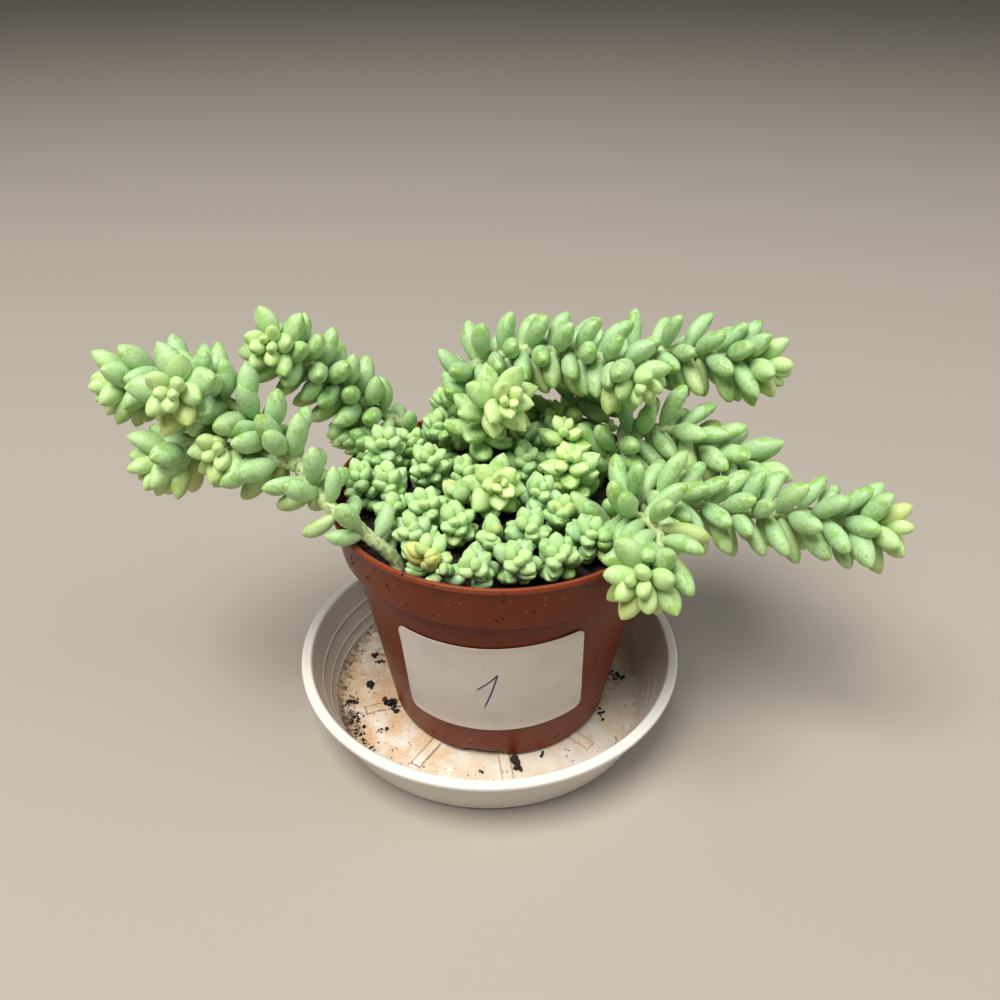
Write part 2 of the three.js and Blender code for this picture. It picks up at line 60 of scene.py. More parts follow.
SAUCER_FLOOR_RADIUS = 60
SAUCER_FLOOR_TOP = 1.8
SAUCER_RIM_RADIUS = 73
SAUCER_HEIGHT = 24.4
SAUCER_FOOT = (SAUCER_FLOOR_RADIUS + 2.4, 1.6)  # radius and height at the outer wall's lower end
SAUCER_NECK = (SAUCER_RIM_RADIUS - 2.6, SAUCER_HEIGHT - 3)  # and at its upper end, under the rim
RIB_COUNT = 9  # raised bars on the floor
RIB_START_ANGLE = -82  # degrees
RIB_INNER = 20
RIB_OUTER = 51
RIB_WIDTH = 4
RIB_TOP = 2.5
DIRTY_TURN = 201  # degrees: where most soil lies along the edge of the saucer's floor
WALL_RIDGES = (4.6, 8.8, 15.0)  # heights of the fine ridges inside the saucer's wall

POT_PLACE = (4, 3, 0)
POT_FOOT = 2.8
POT_TOP = 93.6
POT_RIM_RADIUS = 60
POT_STEP_HEIGHT = 76
BAND_RADIUS = 57.5
BODY_TOP_RADIUS = 54
BODY_FOOT_RADIUS = 42.2
POT_WALL = 1.2
LIP_HEIGHT = 2.0
LIP_WIDTH = 1.4
FOOT_RING_WIDTH = 5.5
FOOT_HEIGHT = 2.6
NOTCH_ANGLES = (-98, -8, 82, 172)  # water gaps in the foot ring
NOTCH_WIDTH = 16
DRAIN_RADIUS = 2.5
DRAIN_RING = 27
DRAIN_ANGLES = (41, 131, 221, 311)

SOIL_BOTTOM = 7.3
SOIL_EDGE = 84.5
SOIL_CROWN = 86.5

LABEL_WIDTH = 66.2
LABEL_HEIGHT = 44.8
LABEL_CORNER = 3
LABEL_MIDDLE = 41.4  # height on the pot
LABEL_TURN = -3.5  # degrees round the pot from the front
LABEL_LEAN = 2.3  # degrees that it is stuck on askew
LABEL_GAP = 0.3
LABEL_THICKNESS = 0.3
LABEL_GRID = (72, 120)  # rows and columns of points
FIGURE_STROKE = ((-4.9, 0.5), (2.6, 9.0), (-2.9, -9.4))  # the pen's path on the label
FIGURE_WIDTH = 0.6

# ---- how the stems grow
#
# leaf is a grown leaf's length, and inner the share of it at the stem's tip. breadth is a share of the
# length. spacing is the step from leaf to leaf, and density the share of it at the tip. head and ramp are
# the last stretches, where leaves are young and where they crowd. open is a grown leaf's angle to the
# stem, stem the stem's radius, and bare its leafless start. point sharpens a leaf's tip, and flat is the
# thickness of its inner side.

LONG = dict(leaf=16.6, inner=0.3, breadth=0.37, spacing=1.4, head=8, ramp=18, density=0.46, open=62,
            curl=0.16, stem=1.9, bare=14, point=0.52, flat=0.82)
STOUT = dict(LONG, leaf=15.6, inner=0.2, breadth=0.46, head=9.5, stem=2.3, point=0.62, flat=0.76)
BROAD = dict(LONG, leaf=14.2, inner=0.2, breadth=0.52, spacing=1.8, head=9, density=0.4, stem=2.0,
             bare=26, point=0.78, flat=0.6)
FRONT = dict(BROAD, leaf=11.8, breadth=0.56, bare=13)
MIDDLE = dict(BROAD, leaf=10.5, breadth=0.56, spacing=1.6, head=7, ramp=13, stem=1.7, bare=13)
YOUNG = dict(leaf=8.2, inner=0.42, breadth=0.6, spacing=0.9, head=4.6, ramp=7, density=0.52, open=54,
             curl=0.2, stem=1.5, bare=12.5, point=0.74, flat=0.68)

LONG_STEMS = [  # name, kind, how far up leaves are sparse, path from the soil up and paths of branches
    ("stem_right_long", LONG, 0, [
        [(45, -9, 88), (50, -9, 95), (58, -10, 98), (69, -11, 96), (83, -13, 93),
         (97, -16, 95), (108, -18, 95), (120, -20, 94), (133, -24, 94)]]),
    ("stem_front_right", LONG, 0, [
        [(40, -20, 88), (45, -24, 98), (52, -32, 102), (54, -40, 99), (51, -48, 95),
         (46, -56, 97)]]),
    ("stem_left", STOUT, 44, [
        [(-30, -33, 87), (-40, -32, 98), (-52, -26, 105), (-60, -18, 112),
         (-70, -11, 121), (-82, -5, 128), (-92, -4, 134), (-97, -11, 139), (-97, -20, 143)],
        [(-84, -4, 129), (-99, 3, 134), (-113, 5, 135), (-126, 1, 133)],
        [(-62, -17, 114), (-74, -14, 116), (-82, -14, 119), (-86, -21, 123)],
        [(-82, -5, 127), (-93, -8, 120), (-103, -12, 115), (-111, -17, 112)]]),
    ("stem_left_back", STOUT, 38, [
        [(-21, 32, 88), (-26, 32, 98), (-35, 32, 105), (-45, 31, 111), (-54, 30, 119),
         (-61, 28, 127), (-68, 24, 134), (-73, 20, 140), (-74, 13, 144)]]),
    ("stem_middle", BROAD, 0, [
        [(-6, 22, 88), (-5, 21, 102), (-1, 17, 115), (3, 10, 124), (7, 1, 129)]]),
    ("stem_top", STOUT, 0, [
        [(-10, 42, 88), (-10, 42, 108), (-5, 39, 124), (8, 35, 131), (22, 30, 134),
         (36, 23, 135), (46, 15, 134), (52, 5, 132)]]),
    ("stem_back_right", LONG, 0, [
        [(27, 38, 88), (34, 42, 108), (49, 43, 123), (63, 41, 129), (76, 37, 130),
         (90, 33, 129), (102, 29, 128)]]),
    ("stem_right_middle", LONG, 0, [
        [(41, 17, 88), (47, 19, 100), (56, 19, 107), (66, 19, 108), (79, 18, 102),
         (92, 16, 96), (102, 13, 91)]]),
    ("head_front", FRONT, 0, [[(2, -1, 88), (2, -5, 98), (4, -15, 106)]]),
    ("head_back", MIDDLE, 0, [[(36, 28, 88), (40, 28, 96), (45, 27, 104)]]),
    ("spike_back", MIDDLE, 0, [[(25, 15, 88), (26, 15, 100), (27, 13, 112)]]),
    ("spike_front", MIDDLE, 0, [[(31, 3, 88), (29, 2, 99), (27, -2, 109)]]),
    ("shoot_over_rim", YOUNG, 0, [
        [(-37, 22, 88), (-41, 23, 97), (-49, 24, 103), (-56, 24, 105)]]),
]
STEM_FOOT = 76  # where each begins, down in its hole
SPARSE_SPACING = 2.7  # times the usual distance between leaves on an old stretch of stem
SPARSE_LEAF = 0.86  # times their usual length there
BRANCH_BARE = 5  # the leafless start of a branch

YOUNG_SHOOTS = [  # where each stands in the soil, and where its tip is
    ((-37, 15), (-37, 9, 110)), ((-42, 1), (-45, -1, 102)), ((-28, 22), (-29, 20, 104)),
    ((-15, 35), (-19, 31, 105)), ((-20, 11), (-21, 5, 105)), ((-21, -13), (-21, -18, 101)),
    ((-35, -2), (-36, -4, 103)), ((-23, -26), (-25, -31, 99)), ((-11, -20), (-11, -27, 100)),
    ((-18, -39), (-19, -42, 99)), ((-13, -44), (-15, -49, 95)), ((-4, -43), (-5, -50, 98)),
    ((9, -39), (9, -47, 99)), ((22, -37), (22, -45, 99)), ((13, -24), (13, -31, 100)),
    ((32, -27), (33, -34, 100)), ((14, 30), (13, 26, 103)), ((24, 29), (27, 37, 107)),
    ((17, -4), (17, -12, 102)), ((13, 15), (13, 7, 104)), ((-9, -8), (-10, -13, 101)),
    ((-31, -13), (-31, -16, 98)), ((15, 45), (20, 46, 104)), ((25, -15), (25, -20, 100)),
    ((-8, 7), (-9, 4, 101)), ((2, -26), (2, -30, 96)), ((-14, 43), (-16, 41, 111)),
]

HOLE_BOTTOM = 74
GOLDEN_TURN = math.pi * (3 - math.sqrt(5))
STEPS_PER_SPAN = 12
DROOP = 0.2  # how much a leaf's weight turns it down
LEAF_GAP = 0.4  # kept between leaves of different stems
RIM_INSIDE = POT_RIM_RADIUS - 4  # leaves keep off the rim from here outwards
TOUCH_POINTS = ((0.3, 0.42), (0.55, 0.5), (0.82, 0.36))  # place along a leaf, radius per breadth
SIZES = (1, 0.88, 0.76, 0.64)  # what a leaf that touches another stem tries in turn
LIFTS = (0, -0.3, 0.25, -0.55)
BENDS = (0, 0.3, -0.3, 0.6, -0.6, 0.9, -0.9)
CROWDED_BREADTH = 0.14  # added to a leaf's breadth at the stem's tip
LEAST_BREADTH = 0.6
LEAF_ROOT = 0.2  # of the stem's radius
TIP_GAP = 0.4  # from the last leaf to the stem's tip
LEAST_OPEN = 12  # degrees between the stem and its last leaf
LENGTH_SPREAD, SPLAY_SPREAD, TURN_SPREAD = 0.16, 0.16, 0.3  # at random


def random_source(seed):
    state = seed
    while True:
        state = (state * 1664525 + 1013904223) % 4294967296
        yield state / 4294967296


def unit(vector):
    return vector / np.linalg.norm(vector)


def units(rows):
    return rows / np.linalg.norm(rows, axis=1)[:, None]


def rotated(x, y, turn):
    return x * math.cos(turn) - y * math.sin(turn), x * math.sin(turn) + y * math.cos(turn)


def turns_round(count):
    """Angles at even steps round a full turn."""
    return np.arange(count) * 2 * math.pi / count


def path_point(points, share):
    """A point of the smooth curve through all points but the first and last, at a share of its spans."""
    spans = len(points) - 3
    i = min(int(share * spans), spans - 1)
    w = share * spans - i
    p0, p1, p2, p3 = points[i:i + 4]
    t1, t2 = (p2 - p0) / 2, (p3 - p1) / 2
    square, cube = -3 * p1 + 3 * p2 - 2 * t1 - t2, 2 * p1 - 2 * p2 + t1 + t2
    return p1 + t1 * w + square * w ** 2 + cube * w ** 3


def walk_path(points):
    """Stops along a smooth path: places, distances from the start, directions ahead and to a side."""
    points = np.array(points, float)
    count = (len(points) - 1) * STEPS_PER_SPAN
    points = [2 * points[0] - points[1], *points, 2 * points[-1] - points[-2]]
    at = np.array([path_point(points, i / count) for i in range(count + 1)])
    steps = np.linalg.norm(np.diff(at, axis=0), axis=1)
    far = np.concatenate([[0], np.cumsum(steps)])
    ahead, sides = [], []
    side = np.array([1.0, 0, 0])
    for i in range(count + 1):
        way = unit(at[min(count, i + 1)] - at[max(0, i - 1)])
        side = unit(side - way * side.dot(way))
        ahead.append(way)
        sides.append(side)
    return dict(at=at, far=far, ahead=np.array(ahead), side=np.array(sides))


def stop_at(walk, far):
    i = np.clip(np.searchsorted(walk["far"], far), 1, len(walk["far"]) - 1)
    share = (far - walk["far"][i - 1]) / (walk["far"][i] - walk["far"][i - 1])
    at = walk["at"][i - 1] + (walk["at"][i] - walk["at"][i - 1]) * share
    return at, walk["ahead"][i], walk["side"][i]


class Grown:
    """The balls that stand for all that has grown, with the stem that each belongs to."""

    def __init__(self):
        self.at = np.zeros((20000, 3))
        self.radius = np.zeros(20000)
        self.owner = np.zeros(20000, int)
        self.count = 0

    def push(self, at, radius, owner):
        self.at[self.count] = at
        self.radius[self.count] = radius
        self.owner[self.count] = owner
        self.count += 1

    def is_clear(self, at, radius, owner):
        """True if a ball is clear of the pot's rim, the soil and the other stems."""
        out = out_from_pot(at[0], at[1])
        reach = radius + LEAF_GAP
        low = at[2] - reach
        if low < POT_TOP and out + reach > RIM_INSIDE and out - reach < POT_RIM_RADIUS:
            return False
        if out < POT_RIM_RADIUS and low < soil_height(out):
            return False
        n = self.count
        near = np.linalg.norm(self.at[:n] - at, axis=1) <= reach + self.radius[:n]
        return not np.any(near & (self.owner[:n] != owner))


def out_from_pot(x, y):
    """The distance from the pot's axis."""
    return math.hypot(x - POT_PLACE[0], y - POT_PLACE[1])


def soil_height(out):
    share = out / (BAND_RADIUS - POT_WALL)
    return SOIL_CROWN - (SOIL_CROWN - SOIL_EDGE) * share * share


def make_leaf(kind, stop, turn, splay, length, young, crowd):
    """A leaf leaves the stem sideways and curves towards the stem's tip."""
    at, ahead, side = stop
    across = np.cross(ahead, side)
    outward = side * math.cos(turn) + across * math.sin(turn)
    way = ahead * math.cos(splay) + outward * math.sin(splay)
    way[2] -= DROOP
    way = unit(way)
    inward = unit(ahead - way * ahead.dot(way))
    breadth = length * (kind["breadth"] + CROWDED_BREADTH * (1 - crowd)) + LEAST_BREADTH
    base = at + outward * kind["stem"] * LEAF_ROOT
    return dict(base=base, way=way, inward=inward, length=length, breadth=breadth,
                young=young, crowd=crowd, kind=kind)


def leaf_balls(leaf):
    for share, width in TOUCH_POINTS:
        along = leaf["way"] * share + leaf["inward"] * share * share * leaf["kind"]["curl"]
        yield leaf["base"] + along * leaf["length"], leaf["breadth"] * width


def grow_leaf(stem, stop, turn, splay, length, young, crowd, grown):
    """The first of several sizes, splays and turns at which the leaf is clear of other stems."""
    for size, lift, bend in itertools.product(SIZES, LIFTS, BENDS):
        leaf = make_leaf(stem["kind"], stop, turn + bend, splay + lift, length * size, young, crowd)
        balls = list(leaf_balls(leaf))
        if all(grown.is_clear(at, radius, stem["owner"]) for at, radius in balls):
            for at, radius in balls:
                grown.push(at, radius, stem["owner"])
            return leaf
    return None


def grow_stem(stem, grown):
    kind, walk = stem["kind"], stem["walk"]
    random = random_source(stem["seed"])
    total = walk["far"][-1]
    far = stem["bare"]
    turn = next(random) * 2 * math.pi
    leaves = []
    while far < total - TIP_GAP:
        young = min(1, (total - far) / kind["head"])
        crowd = min(1, (total - far) / kind["ramp"])
        length = kind["leaf"] * (kind["inner"] + (1 - kind["inner"]) * young ** 0.65)
        is_sparse = far < stem["sparse"]
        length *= (1 - LENGTH_SPREAD / 2 + LENGTH_SPREAD * next(random)) * (SPARSE_LEAF if is_sparse else 1)
        splay = math.radians(LEAST_OPEN + kind["open"] * young ** 0.5) + SPLAY_SPREAD * (next(random) - 0.5)
        wobble = TURN_SPREAD * (next(random) - 0.5)
        stop = stop_at(walk, far)
        leaf = grow_leaf(stem, stop, turn + wobble, splay, length, young, crowd, grown)
        if leaf:
            leaves.append(leaf)
        turn += GOLDEN_TURN
        density = kind["density"] + (1 - kind["density"]) * crowd
        far += kind["spacing"] * density * (SPARSE_SPACING if is_sparse else 1)
    return leaves


def plan_stems():
    stems = []
    for i, (name, kind, sparse, paths) in enumerate(LONG_STEMS):
        for j, points in enumerate(paths):
            bare, sparse_to = (BRANCH_BARE, 0) if j else (kind["bare"], sparse)
            foot = [] if j else [(*points[0][:2], STEM_FOOT)]
            stems.append(dict(name=name, kind=kind, points=foot + points, bare=bare, sparse=sparse_to,
                              seed=100 * i + 10 * j + 7))
    for i, ((x, y), tip) in enumerate(YOUNG_SHOOTS):
        points = [(x, y, HOLE_BOTTOM + 1), (x, y, SOIL_CROWN + 1), tip]
        stems.append(dict(name=f"shoot_{i + 1:02d}", kind=YOUNG, points=points, bare=YOUNG["bare"],
                          sparse=0, seed=5000 + 31 * i))
    grown = Grown()
    for owner, stem in enumerate(stems):
        stem["owner"] = owner
        stem["walk"] = walk_path(stem["points"])
        for at in stem["walk"]["at"][::3]:
            grown.push(at, stem["kind"]["stem"], owner)
    for stem in stems:
        stem["leaves"] = grow_stem(stem, grown)
    return stems


# ---- meshes


class Pile:
    """Vertices and faces of several forms that make one mesh, with four numbers, a mark, a vertex."""

    def __init__(self):
        self.points, self.marks, self.faces, self.kinds = [], [], [], []
        self.count = 0

    def add(self, points, faces, mark=(0, 0, 0, 0), kind=0):
        self.points.append(points)
        self.marks.append(np.broadcast_to(mark, (len(points), 4)))
        self.faces.extend([tuple(i + self.count for i in face) for face in faces])
        self.kinds.extend([kind] * len(faces))
        self.count += len(points)

    def add_rings(self, first, rings, last, mark=(0, 0, 0, 0), kind=0, place=(0, 0, 0)):
        """Adds a closed form at a place: a point, rings of points and a last point."""
        points = np.vstack([first, np.reshape(rings, (-1, 3)), last]) + place
        self.add(points, ring_faces(*np.shape(rings)[:2]), mark, kind)

    def mesh(self, name, materials, sharp=None):
        mesh = bpy.data.meshes.new(name)
        mesh.from_pydata((np.concatenate(self.points) * MM).tolist(), [], self.faces)
        for material in materials:
            mesh.materials.append(material)
        mesh.polygons.foreach_set("material_index", self.kinds)
        mesh.polygons.foreach_set("use_smooth", [True] * len(self.faces))
        if sharp is not None:
            mesh.set_sharp_from_angle(angle=math.radians(sharp))
        marks = mesh.attributes.new("mark", "FLOAT_COLOR", "POINT")
        marks.data.foreach_set("color", np.concatenate(self.marks).astype(np.float32).ravel())
        mesh.update()
        return mesh


def add_object(name, data):
    made = bpy.data.objects.new(name, data)
    bpy.context.scene.collection.objects.link(made)
    return made


def place_piece(name, mesh, slot, *nodes):
    """A piece of the look, with the nodes of the frame that it stands for."""
    piece = add_object(name, mesh)
    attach(piece, BODY)
    if nodes:
        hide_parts(*nodes)
    return piece


def ring_faces(rows, columns):
    """Faces of rows of closed rings, one vertex before the first ring and one after the last."""
    faces = []
    for j in range(columns):
        k = (j + 1) % columns
        faces.append((0, 1 + k, 1 + j))
        end = 1 + rows * columns
        base = end - columns
        faces.append((base + j, base + k, end))
        for i in range(rows - 1):
            a, b = 1 + i * columns, 1 + (i + 1) * columns
            faces.append((a + j, a + k, b + k, b + j))
    return faces


def ring_marks(first, last, *rings):
    """Marks of a closed form: numbers for its first and last point, and arrays for those of its rings."""
    marks = np.zeros((rings[0].size + 2, 4))
    for i, values in enumerate(rings):
        marks[:, i] = [first[i], *values.ravel(), last[i]]
    return marks


def rounded(outline, step):
    """(radius, height, fillet) corners as points, with each corner cut to an arc of that fillet."""
    points = []
    for i, (r, z, fillet) in enumerate(outline):
        here = np.array([r, z], float)
        if fillet == 0 or i in (0, len(outline) - 1):
            points.append(here)
            continue
        before = unit(np.array(outline[i - 1][:2], float) - here)
        after = unit(np.array(outline[i + 1][:2], float) - here)
        half = math.acos(np.clip(before.dot(after), -1, 1)) / 2
        if half > math.radians(88):
            points.append(here)
            continue
        reach = fillet / math.tan(half)
        middle = here + unit(before + after) * fillet / math.sin(half)
        start, end = here + before * reach - middle, here + after * reach - middle
        sweep = math.atan2(start[0] * end[1] - start[1] * end[0], start.dot(end))
        parts = max(2, math.ceil(abs(sweep) * fillet / step))
        points.extend(middle + rotated(*start, sweep * k / parts) for k in range(parts + 1))
    return np.array(points)


def refined(outline, longest):
    """The outline with extra points, so that no stretch of it is longer than that."""
    points = [outline[0]]
    for a, b in zip(outline, outline[1:]):
        parts = max(1, math.ceil(np.linalg.norm(b - a) / longest))
        points.extend(a + (b - a) * k / parts for k in range(1, parts + 1))
    return np.array(points)


def turned(outline, columns):
    """A first point, rings and a last point of a form whose outline runs from the axis out and back."""
    turn = turns_round(columns)
    rings = outline[1:-1]
    x = rings[:, :1] * np.cos(turn)
    y = rings[:, :1] * np.sin(turn)
    z = np.broadcast_to(rings[:, 1:], x.shape)
    return (0, 0, outline[0][1]), np.stack([x, y, z], -1), (0, 0, outline[-1][1])


def smooth(low, high, value):
    """0 at low, 1 at high and smooth between, also where low is the higher."""
    t = np.clip((value - low) / (high - low), 0, 1)
    return t * t * (3 - 2 * t)


# ---- shaders


def srgb(red, green, blue):
    """A colour from 0 to 255 as a linear one."""
    parts = [c / 255 for c in (red, green, blue)]
    return (*[c / 12.92 if c <= 0.04045 else ((c + 0.055) / 1.055) ** 2.4 for c in parts], 1.0)


class Shader:
    """A material whose nodes are made by short calls. A value is a number, a colour or a socket."""

    def __init__(self, name):
        self.material = bpy.data.materials.new(name)
        self.material.use_nodes = True
        self.tree = self.material.node_tree
        self.tree.nodes.clear()
        self.surface = self.node("BsdfPrincipled")
        self.node("OutputMaterial", {"Surface": self.surface.outputs[0]})
        self.place = self.node("TexCoord").outputs["Object"]
        self.colour = None

    def put(self, socket, value):
        if isinstance(value, bpy.types.NodeSocket):
            self.tree.links.new(value, socket)
        else:
            socket.default_value = value

    def node(self, kind, inputs=(), **settings):
        """A new node, with a value for each input that is given by its name or number."""
        node = self.tree.nodes.new("ShaderNode" + kind)
        for name, value in settings.items():
            setattr(node, name, value)
        for name, value in dict(inputs).items():
            self.put(node.inputs[name], value)
        return node

    def math(self, operation, a, b=0.0):
        return self.node("Math", {0: a, 1: b}, operation=operation).outputs[0]

    def times(self, a, b):
        return self.math("MULTIPLY", a, b)

    def plus(self, a, b):
        return self.math("ADD", a, b)

    def mix(self, share, a, b):
        return self.node("Mix", {"Factor": share, 6: a, 7: b}, data_type="RGBA").outputs[2]

    def paint(self, colour, share, amount=1):
        """Lays a colour over the one so far, by a share that may be a pattern, times an amount."""
        self.colour = self.mix(share if amount == 1 else self.times(share, amount), self.colour, colour)

    def step(self, value, low, high):
        """0 below low, 1 above high and smooth between, or the other way round if low is the higher."""
        inputs = {"Value": value, "From Min": min(low, high), "From Max": max(low, high)}
        if low > high:
            inputs.update({"To Min": 1, "To Max": 0})
        return self.node("MapRange", inputs, interpolation_type="SMOOTHSTEP").outputs[0]

    def scaled(self, size, shift):
        """The place on the piece, counted in steps of that size in millimetres."""
        inputs = {"Vector": self.place, "Scale": [1 / (size * MM)] * 3, "Location": [shift] * 3}
        return self.node("Mapping", inputs).outputs[0]

    def noise(self, size, detail=3, rough=0.55, shift=0):
        """Noise from 0 to 1 with features of about that size in millimetres."""
        inputs = {"Vector": self.scaled(size, shift), "Scale": 1, "Detail": detail, "Roughness": rough}
        return self.node("TexNoise", inputs).outputs["Fac"]

    def specks(self, size, share, shift):
        """1 inside round specks that stand in about that share of cells of that size."""
        cells = self.node("TexVoronoi", {"Vector": self.scaled(size, shift), "Scale": 1})
        lot = self.node("SeparateColor", {0: cells.outputs["Color"]})
        chosen = self.step(lot.outputs[0], share + 0.01, share)
        return self.times(chosen, self.step(cells.outputs["Distance"], 0.3, 0.2))

    def mark(self):
        """The four numbers that each vertex carries."""
        node = self.node("Attribute", attribute_name="mark")
        parts = self.node("SeparateColor", {0: node.outputs["Color"]})
        return [*parts.outputs, node.outputs["Alpha"]]

    def axes(self):
        return self.node("SeparateXYZ", {0: self.place}).outputs

    def bump(self, height, distance, strength):
        node = self.node("Bump", {"Strength": strength, "Distance": distance * MM, "Height": height})
        self.put(self.surface.inputs["Normal"], node.outputs[0])

    def done(self, **values):
        """The material, with the colour and these values set on its surface."""
        for name, value in dict(values, Base_Color=self.colour).items():
            self.put(self.surface.inputs[name.replace("_", " ")], value)
        return self.material


PALE_ROOT = srgb(200, 220, 160)
TIP_GREEN = srgb(140, 182, 62)
RUBBED = srgb(124, 168, 54)
BLOOM = srgb(214, 232, 200)
# yellow for yellowed leaves, also used for the painted olive shade of hanging leaves
YELLOW_AND_PAINTED_SHADE = srgb(214, 198, 92)


def leaf_material(name, green, blue, fresh):
    """Marks: the leaf's tone, how grown it is, the place along it, and how yellowed it is, which also
    carries the painted shade of hanging leaves.
    """
    s = Shader(name)
    tone, grown, along, yellowed_and_shaded = s.mark()
    s.colour = s.mix(tone, green, blue)
    s.paint(blue, s.step(s.noise(5, 2), 0.35, 0.7), 0.35)
    s.paint(PALE_ROOT, s.step(along, 0.3, 0), 0.6)
    s.paint(fresh, s.step(grown, 0.9, 0.15), 0.8)
    s.paint(TIP_GREEN, s.step(along, 0.8, 1), 0.6)
    patches = s.times(s.step(s.noise(4.2, 4, 0.62), 0.53, 0.555), s.step(along, 0.4, 0.75))
    rubbed = s.times(s.times(patches, s.step(grown, 0.3, 0.9)), 0.66)
    s.paint(RUBBED, rubbed)
    powder = s.step(s.noise(0.9, 4, 0.7, shift=7), 0.25, 0.75)
    s.paint(BLOOM, s.times(powder, s.math("SUBTRACT", 1, rubbed)), 0.45)
    # yellowed leaves, and painted shade: leaves that hang down are turned olive as if shaded
    s.paint(YELLOW_AND_PAINTED_SHADE, yellowed_and_shaded)
    smoothed = s.math("SUBTRACT", 0.44, s.times(rubbed, 0.25))
    roughness = s.plus(s.times(s.noise(0.7, 3, shift=3), 0.15), smoothed)
    s.bump(s.noise(0.9, 4, 0.6, shift=1), 0.06, 0.6)
    return s.done(Roughness=roughness, Subsurface_Weight=0.1, Subsurface_Scale=1.6 * MM,
                  Subsurface_Radius=(0.7, 1, 0.3), Sheen_Weight=0.08)


def stem_material():
    s = Shader("stem_skin")
    s.colour = s.mix(s.noise(4, 3), srgb(160, 188, 116), srgb(206, 214, 168))
    s.paint(srgb(112, 140, 74), s.step(s.noise(2.4, 3, shift=2), 0.5, 0.64), 0.7)
    scars = s.step(s.noise(1.5, 3, 0.6, shift=5), 0.56, 0.64)
    s.paint(srgb(134, 108, 72), scars, 0.75)
    s.bump(s.noise(1.1, 4, 0.6), 0.3, 0.6)
    return s.done(Roughness=0.6, Subsurface_Weight=0.2, Subsurface_Scale=2 * MM)


def pot_material():
    """Marks: how much painted highlight lies on the lip, and how dirty the place is."""
    s = Shader("pot_plastic")
    light, dirty, _, _ = s.mark()
    s.colour = s.mix(s.noise(22, 3), srgb(98, 36, 8), srgb(112, 46, 14))
    # painted highlight: the lip's top and ridges are coloured a lighter orange-brown, as where light catches
    # them
    s.paint(srgb(142, 66, 38), light, 0.7)
    film = s.times(s.step(s.noise(9, 5, 0.65, shift=4), 0.5, 0.8), 0.1)
    s.paint(srgb(150, 100, 74), film)
    smear = s.times(dirty, s.step(s.noise(5, 5, 0.7, shift=9), 0.5, 0.7))
    s.paint(srgb(70, 44, 32), smear, 0.5)
    grime = s.step(s.plus(dirty, s.noise(14, 2, shift=1)), 0.75, 0.95)
    s.paint(srgb(28, 20, 16), s.times(s.specks(2.4, 0.2, shift=2), grime))
    dust = s.times(s.specks(1.2, 0.03, shift=11), s.step(light, 0.5, 0.2))
    s.paint(srgb(214, 190, 170), dust, 0.25)
    roughness = s.plus(s.times(s.noise(3, 4, shift=6), 0.22), s.plus(0.26, s.times(film, 0.8)))
    s.bump(s.noise(1.4, 3), 0.05, 0.5)
    return s.done(Roughness=roughness, Subsurface_Weight=0.05, Subsurface_Scale=1 * MM,
                  Specular_IOR_Level=0.22)


def rib_line(s):
    """1 on a thin line round each raised bar of the saucer's floor."""
    x, y, _ = s.axes()
    pitch = 2 * math.pi / RIB_COUNT
    angle = s.plus(s.math("ARCTAN2", y, x), pitch / 2 - math.radians(RIB_START_ANGLE))
    from_bar = s.plus(s.math("FLOORED_MODULO", angle, pitch), -pitch / 2)
    out = s.math("SQRT", s.plus(s.times(x, x), s.times(y, y)))
    beside = s.math("ABSOLUTE", s.times(out, s.math("SINE", from_bar)))
    along = s.times(out, s.math("COSINE", from_bar))
    middle, half = (RIB_OUTER + RIB_INNER) / 2 * MM, (RIB_OUTER - RIB_INNER) / 2 * MM
    past_end = s.plus(s.math("ABSOLUTE", s.plus(along, -middle)), -half)
    edge = s.math("MAXIMUM", s.plus(beside, -RIB_WIDTH / 2 * MM), past_end)
    return s.step(s.math("ABSOLUTE", edge), 0.5 * MM, 0.15 * MM)


def saucer_material():
    """Marks: stain and soil film."""
    s = Shader("saucer_plastic")
    stain, film, _, _ = s.mark()
    s.colour = s.mix(s.noise(30, 2), srgb(230, 226, 216), srgb(216, 210, 198))
    brown = s.times(stain, s.step(s.noise(9, 5, 0.65), 0.25, 0.6))
    s.paint(srgb(200, 160, 112), brown, 0.85)
    smear = s.plus(s.noise(2.2, 6, 0.75, shift=3), s.times(film, 0.2))
    s.paint(srgb(70, 54, 40), s.times(s.step(film, 0.05, 0.3), s.step(smear, 0.58, 0.72)), 0.85)
    by_bar = s.times(s.times(rib_line(s), stain), s.step(s.noise(3, 4, 0.7, shift=8), 0.3, 0.45))
    s.paint(srgb(110, 82, 52), by_bar, 0.85)
    grains = s.times(s.specks(1.1, 0.25, shift=5), s.step(s.plus(film, s.times(stain, 0.5)), 0.15, 0.6))
    s.paint(srgb(44, 36, 28), grains, 0.85)
    roughness = s.plus(s.times(s.noise(4, 4, shift=2), 0.2), s.plus(0.22, s.times(brown, 0.3)))
    s.bump(s.noise(2, 3), 0.04, 0.5)
    return s.done(Roughness=roughness, Subsurface_Weight=0.15, Subsurface_Scale=2 * MM)


def label_material():
    s = Shader("label_paper")
    s.colour = s.mix(s.noise(0.35, 3, 0.7), srgb(204, 194, 184), srgb(220, 211, 202))
    s.paint(srgb(184, 172, 162), s.step(s.noise(12, 3, shift=4), 0.45, 0.75), 0.25)
    s.paint(srgb(90, 78, 70), s.specks(1.6, 0.012, shift=8), 0.7)
    s.bump(s.noise(0.3, 3, 0.7), 0.03, 0.6)
    return s.done(Roughness=0.82)


def ink_material():
    s = Shader("pen_ink")
    s.colour = s.mix(s.noise(0.4, 2), srgb(24, 26, 66), srgb(50, 52, 96))
    return s.done(Roughness=0.5)


